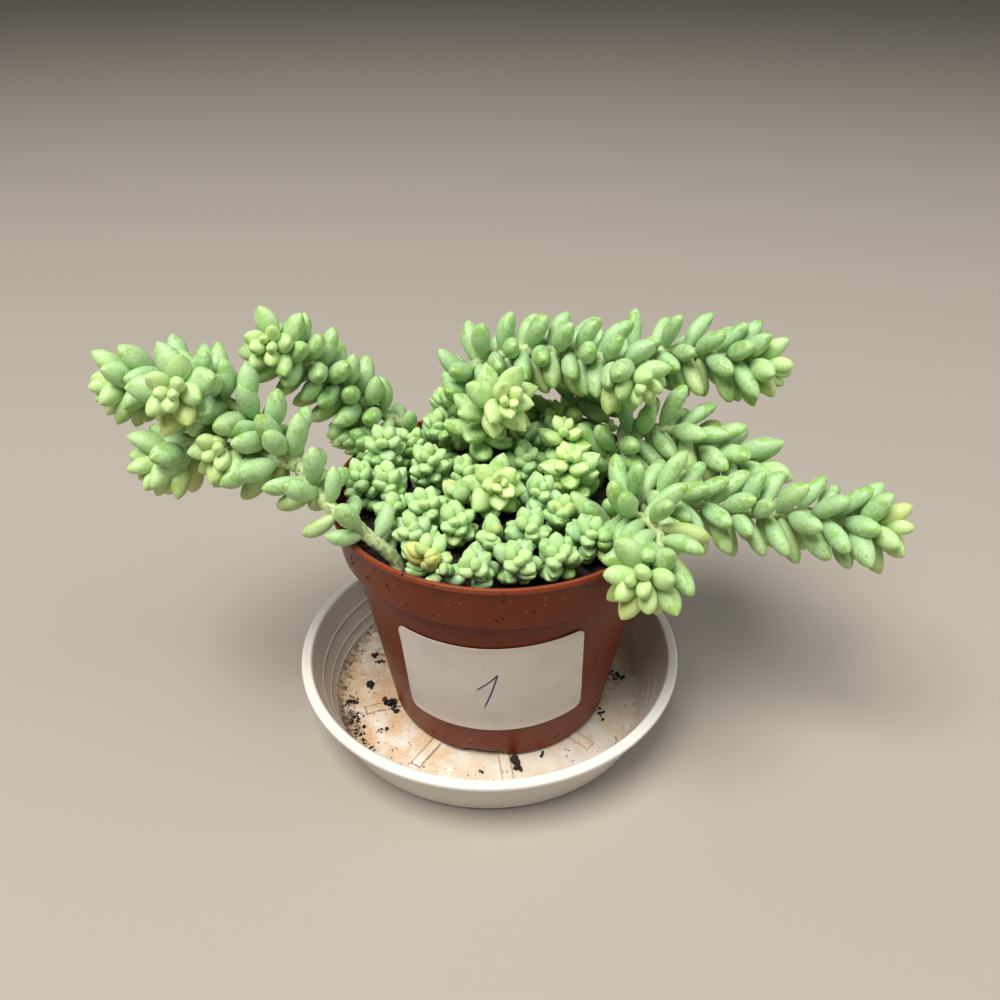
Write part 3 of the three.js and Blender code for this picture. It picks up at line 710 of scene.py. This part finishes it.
def soil_material(name, dark, light):
    s = Shader(name)
    s.colour = s.mix(s.step(s.noise(1.6, 5, 0.7), 0.4, 0.65), dark, light)
    s.paint(srgb(122, 86, 54), s.step(s.noise(0.8, 3, shift=6), 0.62, 0.7), 0.6)
    s.bump(s.noise(0.7, 5, 0.7), 0.5, 0.9)
    return s.done(Roughness=0.92)


# ---- saucer


def saucer_marks(x, y, z):
    """Brown stains on the floor, and soil film along its edge, most at one side, and on the wall."""
    out = np.hypot(x, y)
    (foot, foot_height), (neck, neck_height) = SAUCER_FOOT, SAUCER_NECK
    outer_wall = foot + (neck - foot) * (z - foot_height) / (neck_height - foot_height)
    inside = (z > SAUCER_FLOOR_TOP - 0.3) & (out < outer_wall - 0.8)
    on_floor = inside & (out < SAUCER_FLOOR_RADIUS + 1)
    left = smooth(20, -45, x)
    stain = on_floor * (0.5 + 0.5 * left)
    edge = on_floor * smooth(54, 59, out) * (0.35 + 0.65 * left)
    turn = np.degrees(np.arctan2(y, x)) % 360
    heap = on_floor * smooth(52, 57, out) * np.exp(-((turn - DIRTY_TURN) / 14) ** 2)
    wall = inside * (out >= SAUCER_FLOOR_RADIUS + 1) * smooth(16, 3, z) * 0.25
    return stain, np.maximum(np.maximum(edge * 0.6, heap), wall)


def rib_place(x, y):
    """How far along the nearest bar's direction a place is, and how far beside its middle line."""
    pitch = 2 * math.pi / RIB_COUNT
    angle = np.arctan2(y, x) - math.radians(RIB_START_ANGLE)
    beside_angle = (angle + pitch / 2) % pitch - pitch / 2
    out = np.hypot(x, y)
    return out * np.cos(beside_angle), np.abs(out * np.sin(beside_angle))


def build_saucer():
    base, floor = SAUCER_FLOOR_RADIUS, SAUCER_FLOOR_TOP
    rim, top = SAUCER_RIM_RADIUS, SAUCER_HEIGHT
    foot = (base + 1, floor + 1.4)
    head = (rim - 4.2, top - 1)
    ridges = []
    for height in reversed(WALL_RIDGES):
        share = (height - foot[1]) / (head[1] - foot[1])
        r = foot[0] + (head[0] - foot[0]) * share
        ridges += [(r + 0.22, height + 0.55, 0.2), (r - 0.3, height, 0.25), (r - 0.12, height - 0.55, 0.2)]
    outline = rounded([
        (0, 0, 0),
        (base, 0, 1),
        (*SAUCER_FOOT, 1),
        (*SAUCER_NECK, 0.8),
        (rim - 0.1, top - 2, 0.5),
        (rim, top - 0.1, 0.8),
        (rim - 3.6, top, 0.8),
        (*head, 0.3),
        *ridges,
        (*foot, 1),
        (base - 1, floor, 1.5),
        (0, floor, 0),
    ], step=0.3)
    low, grid, high = turned(refined(outline, 0.9), SAUCER_ROUND)
    x, y, z = np.moveaxis(grid, -1, 0)
    along, beside = rib_place(x, y)
    past = np.maximum(0, np.maximum(RIB_INNER + 2 - along, along - (RIB_OUTER - 2)))
    edge = np.hypot(beside, past)
    top_side = (z > floor - 0.1) & (np.hypot(x, y) < base - 2)
    rise = (RIB_TOP - floor) * smooth(RIB_WIDTH / 2 + 0.5, RIB_WIDTH / 2 - 0.5, edge)
    z += top_side * (rise - 0.3 * smooth(0.7, 0.2, edge))
    pile = Pile()
    pile.add_rings(low, grid, high, ring_marks((0, 0), (0.6, 0), *saucer_marks(x, y, z)))
    mesh = pile.mesh("saucer_form", [saucer_material()], sharp=50)
    place_piece("saucer_dish", mesh, "saucer_plastic", "saucer")


# ---- pot


def body_radius(z):
    share = (z - POT_FOOT) / (POT_STEP_HEIGHT - POT_FOOT)
    return BODY_FOOT_RADIUS + (BODY_TOP_RADIUS - BODY_FOOT_RADIUS) * share


def band_radius(height):
    share = (height - POT_STEP_HEIGHT) / (POT_TOP - LIP_HEIGHT - POT_STEP_HEIGHT)
    edge = POT_RIM_RADIUS - 0.8
    return POT_RIM_RADIUS if share > 1 else BAND_RADIUS + (edge - BAND_RADIUS) * share


def build_pot():
    floor_under = POT_FOOT + FOOT_HEIGHT
    floor_top = floor_under + POT_WALL
    step = POT_STEP_HEIGHT
    rim, top = POT_RIM_RADIUS, POT_TOP
    under = top - LIP_HEIGHT
    ring = BODY_FOOT_RADIUS - FOOT_RING_WIDTH
    ridges = []
    for height in (under + 0.65, under + 1.3):
        ridges += [(rim, height - 0.2, 0.08), (rim - 0.22, height, 0.08), (rim - 0.05, height + 0.2, 0.08)]
    outline = rounded([
        (0, floor_under, 0),
        (ring - 0.6, floor_under, 0.4),
        (ring, POT_FOOT, 0.4),
        (BODY_FOOT_RADIUS, POT_FOOT, 1.0),
        (BODY_TOP_RADIUS, step, 0.4),
        (BAND_RADIUS, step + 0.3, 0.8),
        (rim - 0.8, under, 0.3),
        (rim - 0.05, under + 0.3, 0.25),
        *ridges,
        (rim - 0.1, top, 0.5),
        (rim - LIP_WIDTH, top, 0.4),
        (BAND_RADIUS - POT_WALL, step + POT_WALL, 1),
        (BODY_TOP_RADIUS - POT_WALL, step - 0.6, 1),
        (body_radius(floor_top) - POT_WALL, floor_top, 1),
        (0, floor_top, 0),
    ], step=0.2)
    low, grid, high = turned(refined(outline, 2.5), POT_ROUND)
    x, y, z = np.moveaxis(grid, -1, 0)
    turn, out = np.degrees(np.arctan2(y, x)), np.hypot(x, y)
    away = np.min([np.abs((turn - a + 180) % 360 - 180) for a in NOTCH_ANGLES], axis=0)
    beside = np.radians(away) * out
    notch = smooth(NOTCH_WIDTH / 2 + 0.4, NOTCH_WIDTH / 2 - 1.4, beside)
    foot_zone = (z < floor_under - 0.1) & (out > ring - 1)
    z += np.where(foot_zone, (floor_under - 0.2 - z) * notch, 0)
    # painted highlight: marks the lip, which the pot's material paints lighter
    lip_highlight = smooth(under - 0.1, under + 0.4, z) * (out > rim - 2)
    left = smooth(-150, -120, turn) * smooth(-60, -110, turn)
    side = np.clip(left + 0.25, 0, 1)
    dirty = side * smooth(60, 75, z) + 0.7 * smooth(12, 4, z)
    marks = ring_marks((0, 0.5), (0, 0.5), lip_highlight, np.clip(dirty, 0, 1))
    pile = Pile()
    pile.add_rings(low, grid, high, marks, place=POT_PLACE)
    pot = place_piece("nursery_pot", pile.mesh("pot_form", [pot_material()], sharp=40), "pot_plastic", "pot")
    cut_drain_holes(pot, floor_under)


def cut_drain_holes(pot, floor_under):
    pile = Pile()
    for angle in DRAIN_ANGLES:
        tall = np.array([(0, -2), (DRAIN_RADIUS, -2), (DRAIN_RADIUS, 4), (0, 4)], float)
        turn = math.radians(angle)
        x, y = POT_PLACE[0] + DRAIN_RING * math.cos(turn), POT_PLACE[1] + DRAIN_RING * math.sin(turn)
        pile.add_rings(*turned(tall, DRAIN_ROUND), place=(x, y, floor_under))
    cutter = add_object("drain_cutter", pile.mesh("drain_cutter", []))
    cut = pot.modifiers.new("drain", "BOOLEAN")
    cut.operation = "DIFFERENCE"
    cut.solver = "EXACT"
    cut.object = cutter
    bpy.context.view_layer.update()
    evaluated = pot.evaluated_get(bpy.context.evaluated_depsgraph_get())
    mesh = bpy.data.meshes.new_from_object(evaluated)
    pot.modifiers.clear()
    pot.data = mesh
    bpy.data.objects.remove(cutter)


# ---- label

CONE_SLOPE = math.atan((BODY_TOP_RADIUS - BODY_FOOT_RADIUS) / (POT_STEP_HEIGHT - POT_FOOT))
CONE_TIP = POT_FOOT - BODY_FOOT_RADIUS / math.tan(CONE_SLOPE)


def on_cone(x, y, out):
    """A place on a flat sheet, bent round the pot's cone at that distance outside it."""
    x, y = rotated(x, y, math.radians(LABEL_LEAN))
    middle = (LABEL_MIDDLE - CONE_TIP) / math.cos(CONE_SLOPE)
    reach = np.hypot(x, middle + y)
    turn = np.arctan2(x, middle + y) / math.sin(CONE_SLOPE) + math.radians(LABEL_TURN)
    radius = reach * math.sin(CONE_SLOPE) + out * math.cos(CONE_SLOPE)
    height = CONE_TIP + reach * math.cos(CONE_SLOPE) - out * math.sin(CONE_SLOPE)
    return np.stack([
        POT_PLACE[0] + radius * np.sin(turn),
        POT_PLACE[1] - radius * np.cos(turn),
        height], -1)


def label_lift(x, y):
    """The paper's soft waves, and its edges that lift a little."""
    wave = np.vectorize(lambda a, b: noise.noise(Vector((a / 16, b / 11, 3.7))))(x, y)
    edge = np.minimum(LABEL_WIDTH / 2 - np.abs(x), LABEL_HEIGHT / 2 - np.abs(y))
    return LABEL_GAP * 0.6 + 0.16 * (wave + 0.5) + 0.12 * smooth(3, 0, edge)


def build_label():
    rows, columns = LABEL_GRID
    x = np.linspace(-LABEL_WIDTH / 2, LABEL_WIDTH / 2, columns)
    x = LABEL_WIDTH / 2 * np.sin(x / (LABEL_WIDTH / 2) * math.pi / 2)
    v = np.linspace(-1, 1, rows)
    past = np.maximum(0, np.abs(x) - (LABEL_WIDTH / 2 - LABEL_CORNER))
    half = LABEL_HEIGHT / 2 - LABEL_CORNER + np.sqrt(np.maximum(0, LABEL_CORNER ** 2 - past ** 2))
    grid_x = np.broadcast_to(x, (rows, columns))
    grid_y = v[:, None] * half
    lift = label_lift(grid_x, grid_y)
    front = on_cone(grid_x, grid_y, lift + LABEL_THICKNESS)
    back = on_cone(grid_x, grid_y, lift)
    count = rows * columns
    faces = []
    for a in range(count - columns):
        if (a + 1) % columns:
            quad = (a, a + 1, a + columns + 1, a + columns)
            faces += [quad, tuple(count + k for k in quad[::-1])]
    border = [
        *range(columns), *range(2 * columns - 1, count, columns),
        *range(count - 2, count - columns - 1, -1), *range(count - 2 * columns, 0, -columns)]
    for a, b in zip(border, border[1:] + border[:1]):
        faces.append((a, a + count, b + count, b))
    pile = Pile()
    pile.add(np.vstack([front.reshape(-1, 3), back.reshape(-1, 3)]), faces)
    place_piece("paper_label", pile.mesh("label_form", [label_material()], sharp=50), "label_paper", "label")
    build_figure()


def build_figure():
    """The plain figure 1 that is drawn on the label with a pen."""
    line = []
    for (x0, y0), (x1, y1) in zip(FIGURE_STROKE, FIGURE_STROKE[1:]):
        for t in np.linspace(0, 1, 40):
            bow = 0.25 * math.sin(math.pi * t)
            line.append((x0 + (x1 - x0) * t + bow, y0 + (y1 - y0) * t - bow))
    line = np.array(line)
    line = line[np.concatenate([[True], np.linalg.norm(np.diff(line, axis=0), axis=1) > 1e-6])]
    ahead = units(np.gradient(line, axis=0))
    side = np.stack([-ahead[:, 1], ahead[:, 0]], -1)
    share = np.linspace(0, 1, len(line))
    width = FIGURE_WIDTH * (0.35 + 0.65 * smooth(0, 0.04, share) * smooth(1, 0.93, share))
    section = [(-0.5, 0.0), (-0.35, 0.09), (0.35, 0.09), (0.5, 0.0), (0.0, -0.05)]
    rings = []
    for across, out in section:
        place = line + side * (across * width)[:, None]
        lift = label_lift(place[:, 0], place[:, 1]) + LABEL_THICKNESS + out * (0.6 if out > 0 else 1)
        rings.append(on_cone(place[:, 0], place[:, 1], lift))
    grid = np.stack(rings, 1)
    pile = Pile()
    pile.add_rings(grid[0].mean(0), grid, grid[-1].mean(0))
    place_piece("pen_figure", pile.mesh("figure_form", [ink_material()]), "label_paper")


# ---- soil


def soil_top(x, y):
    bumps = noise.fractal(Vector((x / 5, y / 5, 1.3)), 0.8, 2.1, 4)
    return soil_height(out_from_pot(x, y)) + 0.9 * bumps


def build_soil():
    edge = BAND_RADIUS - POT_WALL - 0.4
    rim = edge + 0.8
    outline = [
        (0, SOIL_BOTTOM),
        (body_radius(SOIL_BOTTOM) - 2.5, SOIL_BOTTOM),
        (BODY_TOP_RADIUS - 2.5, POT_STEP_HEIGHT - 0.4),
        (edge, POT_STEP_HEIGHT + 2),
        (rim, SOIL_EDGE),
        *[(rim * (1 - k / SOIL_RINGS), SOIL_EDGE) for k in range(1, SOIL_RINGS + 1)]]
    _, grid, _ = turned(np.array(outline, float), SOIL_ROUND)
    grid += POT_PLACE
    for point in grid[3:].reshape(-1, 3):
        point[2] = soil_top(point[0], point[1])
    x, y, _ = POT_PLACE
    pile = Pile()
    pile.add_rings((x, y, SOIL_BOTTOM), grid, (x, y, soil_top(x, y)))
    material = soil_material("soil_bed", srgb(30, 24, 20), srgb(66, 52, 40))
    place_piece("soil_bed", pile.mesh("soil_form", [material]), "potting_soil", "soil")


CRUMB_PLACES = [  # on the saucer's floor: place, how many crumbs, how far they spread, largest radius
    ((-38.5, -12), 14, 1.6, 2), ((-36.5, -15), 12, 2.4, 1),
    ((-48.2, -1.8), 9, 1.6, 1.7), ((-49.2, 16), 7, 1.2, 1.3),
    ((-46.5, 12), 5, 1.6, 0.8), ((-54.3, -11.4), 16, 2.4, 0.9),
    ((-52, -20), 24, 3.2, 0.8), ((-50, -28.5), 24, 3.2, 0.8),
    ((-45.6, -33.5), 18, 3.4, 0.7), ((9.2, -40), 9, 1, 1.4),
    ((9.8, -42), 10, 1, 1.4), ((10.2, -44.5), 12, 1.2, 1.5),
    ((19.6, -38.4), 4, 1, 1), ((-2.5, -46.9), 3, 1.2, 0.9),
    ((-41.3, -26), 5, 1.8, 0.9), ((52, 4.3), 24, 4, 0.8),
    ((43.1, -16.5), 10, 2.4, 0.9), ((-20, 55), 14, 6, 0.8),
    ((30, 50), 12, 6, 0.8),
]
LOOSE_CRUMBS = 230  # on the saucer's floor besides
SOIL_CRUMBS = 900  # on the soil
CRUMB_SIDES = 5
CRUMB_FACES = ring_faces(2, CRUMB_SIDES)
POT_SPECKS = [  # on the pot's band and body: turn from the front in degrees, height, radius
    (-38.2, 84.6, 0.7), (-37.4, 83.6, 0.5), (-47.7, 83.1, 0.55), (-48.6, 82.2, 0.5), (-46.9, 82, 0.35),
    (-57.3, 83, 0.8), (-58, 84.2, 0.5), (-57, 86, 0.4), (-31.1, 80.2, 0.55), (-30.6, 79.2, 0.45),
    (-32.5, 78.6, 0.4), (-29.8, 80.6, 0.3), (-19.8, 72, 0.4), (-52, 88, 0.35), (-43, 79, 0.35),
    (-41, 88, 0.3), (-66, 85, 0.5), (-24, 84, 0.25), (-70, 60, 0.5), (-50, 12, 0.5),
    (-35, 8, 0.6), (42, 20, 0.5), (30, 9, 0.5), (55, 16, 0.5), (60, 40, 0.35),
    (150, 80, 0.6), (170, 60, 0.5), (120, 78, 0.5), (-140, 70, 0.5), (95, 84, 0.4),
]


def crumb_form(random, place, radius):
    """A small lump of two uneven rings between two ends, turned its own way."""
    stretch = random.uniform(0.6, 1.3, 3) * radius
    rings = []
    for z, r in ((-0.55, 0.75), (0.35, 0.85)):
        turn = turns_round(CRUMB_SIDES) + random.uniform(0, 6)
        wide = r * random.uniform(0.75, 1.2, CRUMB_SIDES)
        rings.append(np.stack([wide * np.cos(turn), wide * np.sin(turn), np.full(CRUMB_SIDES, z)], -1))
    x, y, z = (np.vstack([(0, 0, -0.9), *rings, (0.1, 0, 0.95)]) * stretch).T
    x, y = rotated(x, y, random.uniform(0, math.pi))
    return np.stack([x, y, z], -1) + place


def saucer_floor(x, y):
    along, beside = rib_place(x, y)
    on_rib = beside < RIB_WIDTH / 2 and RIB_INNER < along < RIB_OUTER
    return RIB_TOP if on_rib else SAUCER_FLOOR_TOP


def add_floor_crumb(pile, random, x, y, radius):
    """A crumb on the saucer's floor, unless the pot's foot stands there or the wall begins."""
    past_foot = out_from_pot(x, y) > BODY_FOOT_RADIUS + radius
    if past_foot and math.hypot(x, y) < SAUCER_FLOOR_RADIUS - 1 - radius:
        place = (x, y, saucer_floor(x, y) + 0.55 * radius)
        pile.add(crumb_form(random, place, radius), CRUMB_FACES)


def build_crumbs():
    random = np.random.default_rng(11)
    bed, dish, wall = Pile(), Pile(), Pile()
    for _ in range(SOIL_CRUMBS):
        out = (BAND_RADIUS - POT_WALL - 1.5) * math.sqrt(random.uniform())
        turn = random.uniform(0, 2 * math.pi)
        x, y = POT_PLACE[0] + out * math.cos(turn), POT_PLACE[1] + out * math.sin(turn)
        radius = 0.45 + 1.1 * random.uniform() ** 3
        bed.add(crumb_form(random, (x, y, soil_top(x, y) + 0.2 * radius), radius), CRUMB_FACES)
    for (x0, y0), count, spread, largest in CRUMB_PLACES:
        for _ in range(count):
            x, y = x0 + random.normal(0, spread / 2), y0 + random.normal(0, spread / 2)
            add_floor_crumb(dish, random, x, y, largest * random.uniform(0.3, 1))
    for _ in range(LOOSE_CRUMBS):
        out, turn = random.uniform(44, 58.5), random.uniform(0, 2 * math.pi)
        x, y = out * math.cos(turn), out * math.sin(turn)
        add_floor_crumb(dish, random, x, y, random.uniform(0.15, 0.4))
    for angle, height, radius in POT_SPECKS:
        turn = math.radians(angle)
        out = body_radius(height) if height < POT_STEP_HEIGHT else band_radius(height)
        place = (POT_PLACE[0] + out * math.sin(turn), POT_PLACE[1] - out * math.cos(turn), height)
        wall.add(crumb_form(random, place, radius * 0.8), CRUMB_FACES)
    crumb = soil_material("soil_crumb", srgb(38, 28, 22), srgb(92, 66, 46))
    dirt = soil_material("dirt", srgb(22, 17, 14), srgb(54, 42, 32))
    for name, pile, material in (
            ("soil_crumbs", bed, crumb), ("saucer_crumbs", dish, dirt), ("pot_specks", wall, dirt)):
        place_piece(name, pile.mesh(name, [material]), "potting_soil")


# ---- leaves and stems

LEAF_MESH = (15, 16)  # rings along a leaf and points round it
SMALL_LEAF_MESH = (11, 12)
STEM_ROUND = 14
YELLOW_PLACES = [  # middles of the groups of yellowed leaves
    (-10, -5, 99), (-11, -11, 96), (-17, -46, 94), (-20, -42, 95), (14, 38, 100)]
LEAF_RIPPLE = 0.03  # unevenness along a leaf, as a share of its width
LEAF_LUMPS = ((2, 0.03), (3, 0.02))  # lumps round a leaf, and how high they are
TIP_OVERHANG = 1.012  # times the leaf's length, to the very tip


def leaf_profile(share, leaf):
    """Half the width per breadth along a leaf, which is narrow at the root and pointed at the tip."""
    root = 0.6
    tip = leaf["kind"]["point"] + 0.3 * (leaf["young"] - leaf["crowd"])
    widest = root / (root + tip)
    peak = widest ** root * (1 - widest) ** tip
    place = share ** 1.2
    return 0.5 * place ** root * (1 - place) ** tip / peak


def yellowing_and_painted_shade(leaf, random):
    """How yellowed a leaf is, and its painted shade: a leaf that hangs down is painted olive as if shaded,
    and the leaves at the yellow places are yellowed most.
    """
    middle = leaf["base"] + leaf["way"] * leaf["length"] / 2
    near = min(math.dist(middle, place) for place in YELLOW_PLACES)
    # painted shade: a leaf that hangs down is coloured olive like a shaded underside
    painted_hanging_shade = 0.45 * smooth(-0.3, -0.95, leaf["way"][2]) * random.uniform(0, 1)
    return max(painted_hanging_shade, 0.6 * smooth(6, 3, near), 0.25 * (random.uniform() < 0.02))


def add_leaves(pile, leaves, random, tint, mesh_size):
    rings, round_points = mesh_size
    share = (1 - np.cos(math.pi * np.arange(1, rings) / rings)) / 2
    turn = turns_round(round_points)
    for leaf in leaves:
        way, inward = leaf["way"], leaf["inward"]
        across = np.cross(way, inward)
        curl = leaf["kind"]["curl"] * random.uniform(0.6, 1.5)
        lean = random.uniform(-0.08, 0.08)
        length = leaf["length"]
        spine = (leaf["base"] + (share * length)[:, None] * way
                 + (share ** 2 * length * curl)[:, None] * inward
                 + (share ** 2 * length * lean)[:, None] * across)
        ahead = units(way + 2 * share[:, None] * curl * inward)
        up = units(inward - ahead * (ahead @ inward)[:, None])
        wide = leaf_profile(share, leaf) * leaf["breadth"]
        wide = wide * (1 + LEAF_RIPPLE * np.sin(share * 7 + random.uniform(0, 6)))
        lump = 1
        for count, high in LEAF_LUMPS:
            lump = lump + high * np.sin(count * turn + random.uniform(0, 6))
        thick = np.where(np.sin(turn) > 0, leaf["kind"]["flat"], 0.92)
        rows = (spine[:, None, :]
                + (wide[:, None] * np.cos(turn) * lump)[..., None] * across
                + (wide[:, None] * np.sin(turn) * lump * thick)[..., None] * up[:, None, :])
        tip = leaf["base"] + length * (way * TIP_OVERHANG + inward * curl + across * lean)
        marks = np.zeros(((rings - 1) * round_points + 2, 4))
        marks[:, 0] = np.clip(tint + random.normal(0, 0.16), 0, 1)
        marks[:, 1] = 0.45 * leaf["young"] + 0.55 * leaf["crowd"]
        marks[1:-1, 2] = np.repeat(share, round_points)
        marks[-1, 2] = 1
        # yellowing, and the painted shade of hanging leaves
        marks[:, 3] = yellowing_and_painted_shade(leaf, random)
        pile.add_rings(leaf["base"], rows, tip, marks)


def add_stem(pile, stem):
    walk, radius = stem["walk"], stem["kind"]["stem"]
    turn = turns_round(STEM_ROUND)
    rings = []
    total = walk["far"][-1]
    for at, far, ahead, side in zip(walk["at"], walk["far"], walk["ahead"], walk["side"]):
        across = np.cross(ahead, side)
        taper = 0.55 + 0.45 * smooth(0, 16, total - far)
        wide = radius * taper * (1 + 0.07 * math.sin(far * 2.3) + 0.05 * math.sin(far * 0.9 + 1))
        rings.append(at + wide * (np.outer(np.cos(turn), side) + np.outer(np.sin(turn), across)))
    pile.add_rings(walk["at"][0], rings, walk["at"][-1], kind=1)


def build_plant():
    stems = plan_stems()
    long_skin = leaf_material("long_leaf", srgb(152, 190, 100), srgb(138, 182, 120), srgb(186, 216, 118))
    head_skin = leaf_material("head_leaf", srgb(180, 212, 112), srgb(158, 200, 124), srgb(206, 230, 130))
    young_skin = leaf_material("young_leaf", srgb(160, 200, 112), srgb(142, 186, 124), srgb(178, 214, 124))
    wood = stem_material()
    random = np.random.default_rng(5)
    for name in dict.fromkeys(stem["name"] for stem in stems):
        own = [stem for stem in stems if stem["name"] == name]
        kind = own[0]["kind"]
        is_young = kind is YOUNG
        tint = random.uniform(0.3, 0.9) if is_young else random.uniform(0.2, 0.6)
        pile = Pile()
        for stem in own:
            add_leaves(pile, stem["leaves"], random, tint, SMALL_LEAF_MESH if is_young else LEAF_MESH)
            add_stem(pile, stem)
        is_long = kind in (LONG, STOUT)
        skin = long_skin if is_long else young_skin if is_young else head_skin
        slot = "long_leaves" if is_long else "young_leaves"
        place_piece(f"{name}_leaves", pile.mesh(f"{name}_form", [skin, wood]), slot, name)


# ---- camera, light and floor

LIGHTS = (  # name, place in metres, size, power and colour
    ("key", (-0.6, -0.64, 2.0), 1.4, 71, (1, 0.99, 0.97)),
    ("fill", (1.2, -0.3, 1.1), 1.4, 11, (0.97, 0.99, 1)),
)
AIM = Vector((0, 0, 0.07))  # where they shine, in metres
WORLD_STRENGTH = 0.13
FLOOR_REACH = 12  # metres


def build_camera():
    camera = bpy.data.cameras.new("camera")
    camera.lens = CAMERA_LENS
    camera.sensor_width = SENSOR_WIDTH
    holder = add_object("camera", camera)
    holder.location = Vector(CAMERA_PLACE) * MM
    holder.rotation_euler = (math.radians(90 - CAMERA_PITCH), 0, 0)
    bpy.context.scene.camera = holder


def add_light(name, place, size, power, colour):
    lamp = bpy.data.lights.new(name, "AREA")
    lamp.shape, lamp.size, lamp.energy, lamp.color = "DISK", size, power, colour
    holder = add_object(name, lamp)
    holder.location = place
    holder.rotation_euler = (AIM - Vector(place)).to_track_quat("-Z", "Y").to_euler()


def build_studio():
    mesh = bpy.data.meshes.new("floor")
    corners = [(x * FLOOR_REACH, y * FLOOR_REACH, 0) for x, y in ((-1, -1), (1, -1), (1, 1), (-1, 1))]
    mesh.from_pydata(corners, [], [(0, 1, 2, 3)])
    s = Shader("floor_paper")
    s.colour = srgb(162, 153, 141)
    mesh.materials.append(s.done(Roughness=0.9))
    floor = add_object("floor", mesh)
    for light in LIGHTS:
        add_light(*light)
    world = bpy.data.worlds.new("studio")
    world.use_nodes = True
    background = world.node_tree.nodes["Background"]
    background.inputs["Color"].default_value = (1, 1, 1, 1)
    background.inputs["Strength"].default_value = WORLD_STRENGTH
    bpy.context.scene.world = world
    bpy.context.scene.view_settings.view_transform = "Standard"


build_camera()
build_studio()
build_saucer()
build_pot()
build_label()
build_soil()
build_crumbs()
build_plant()
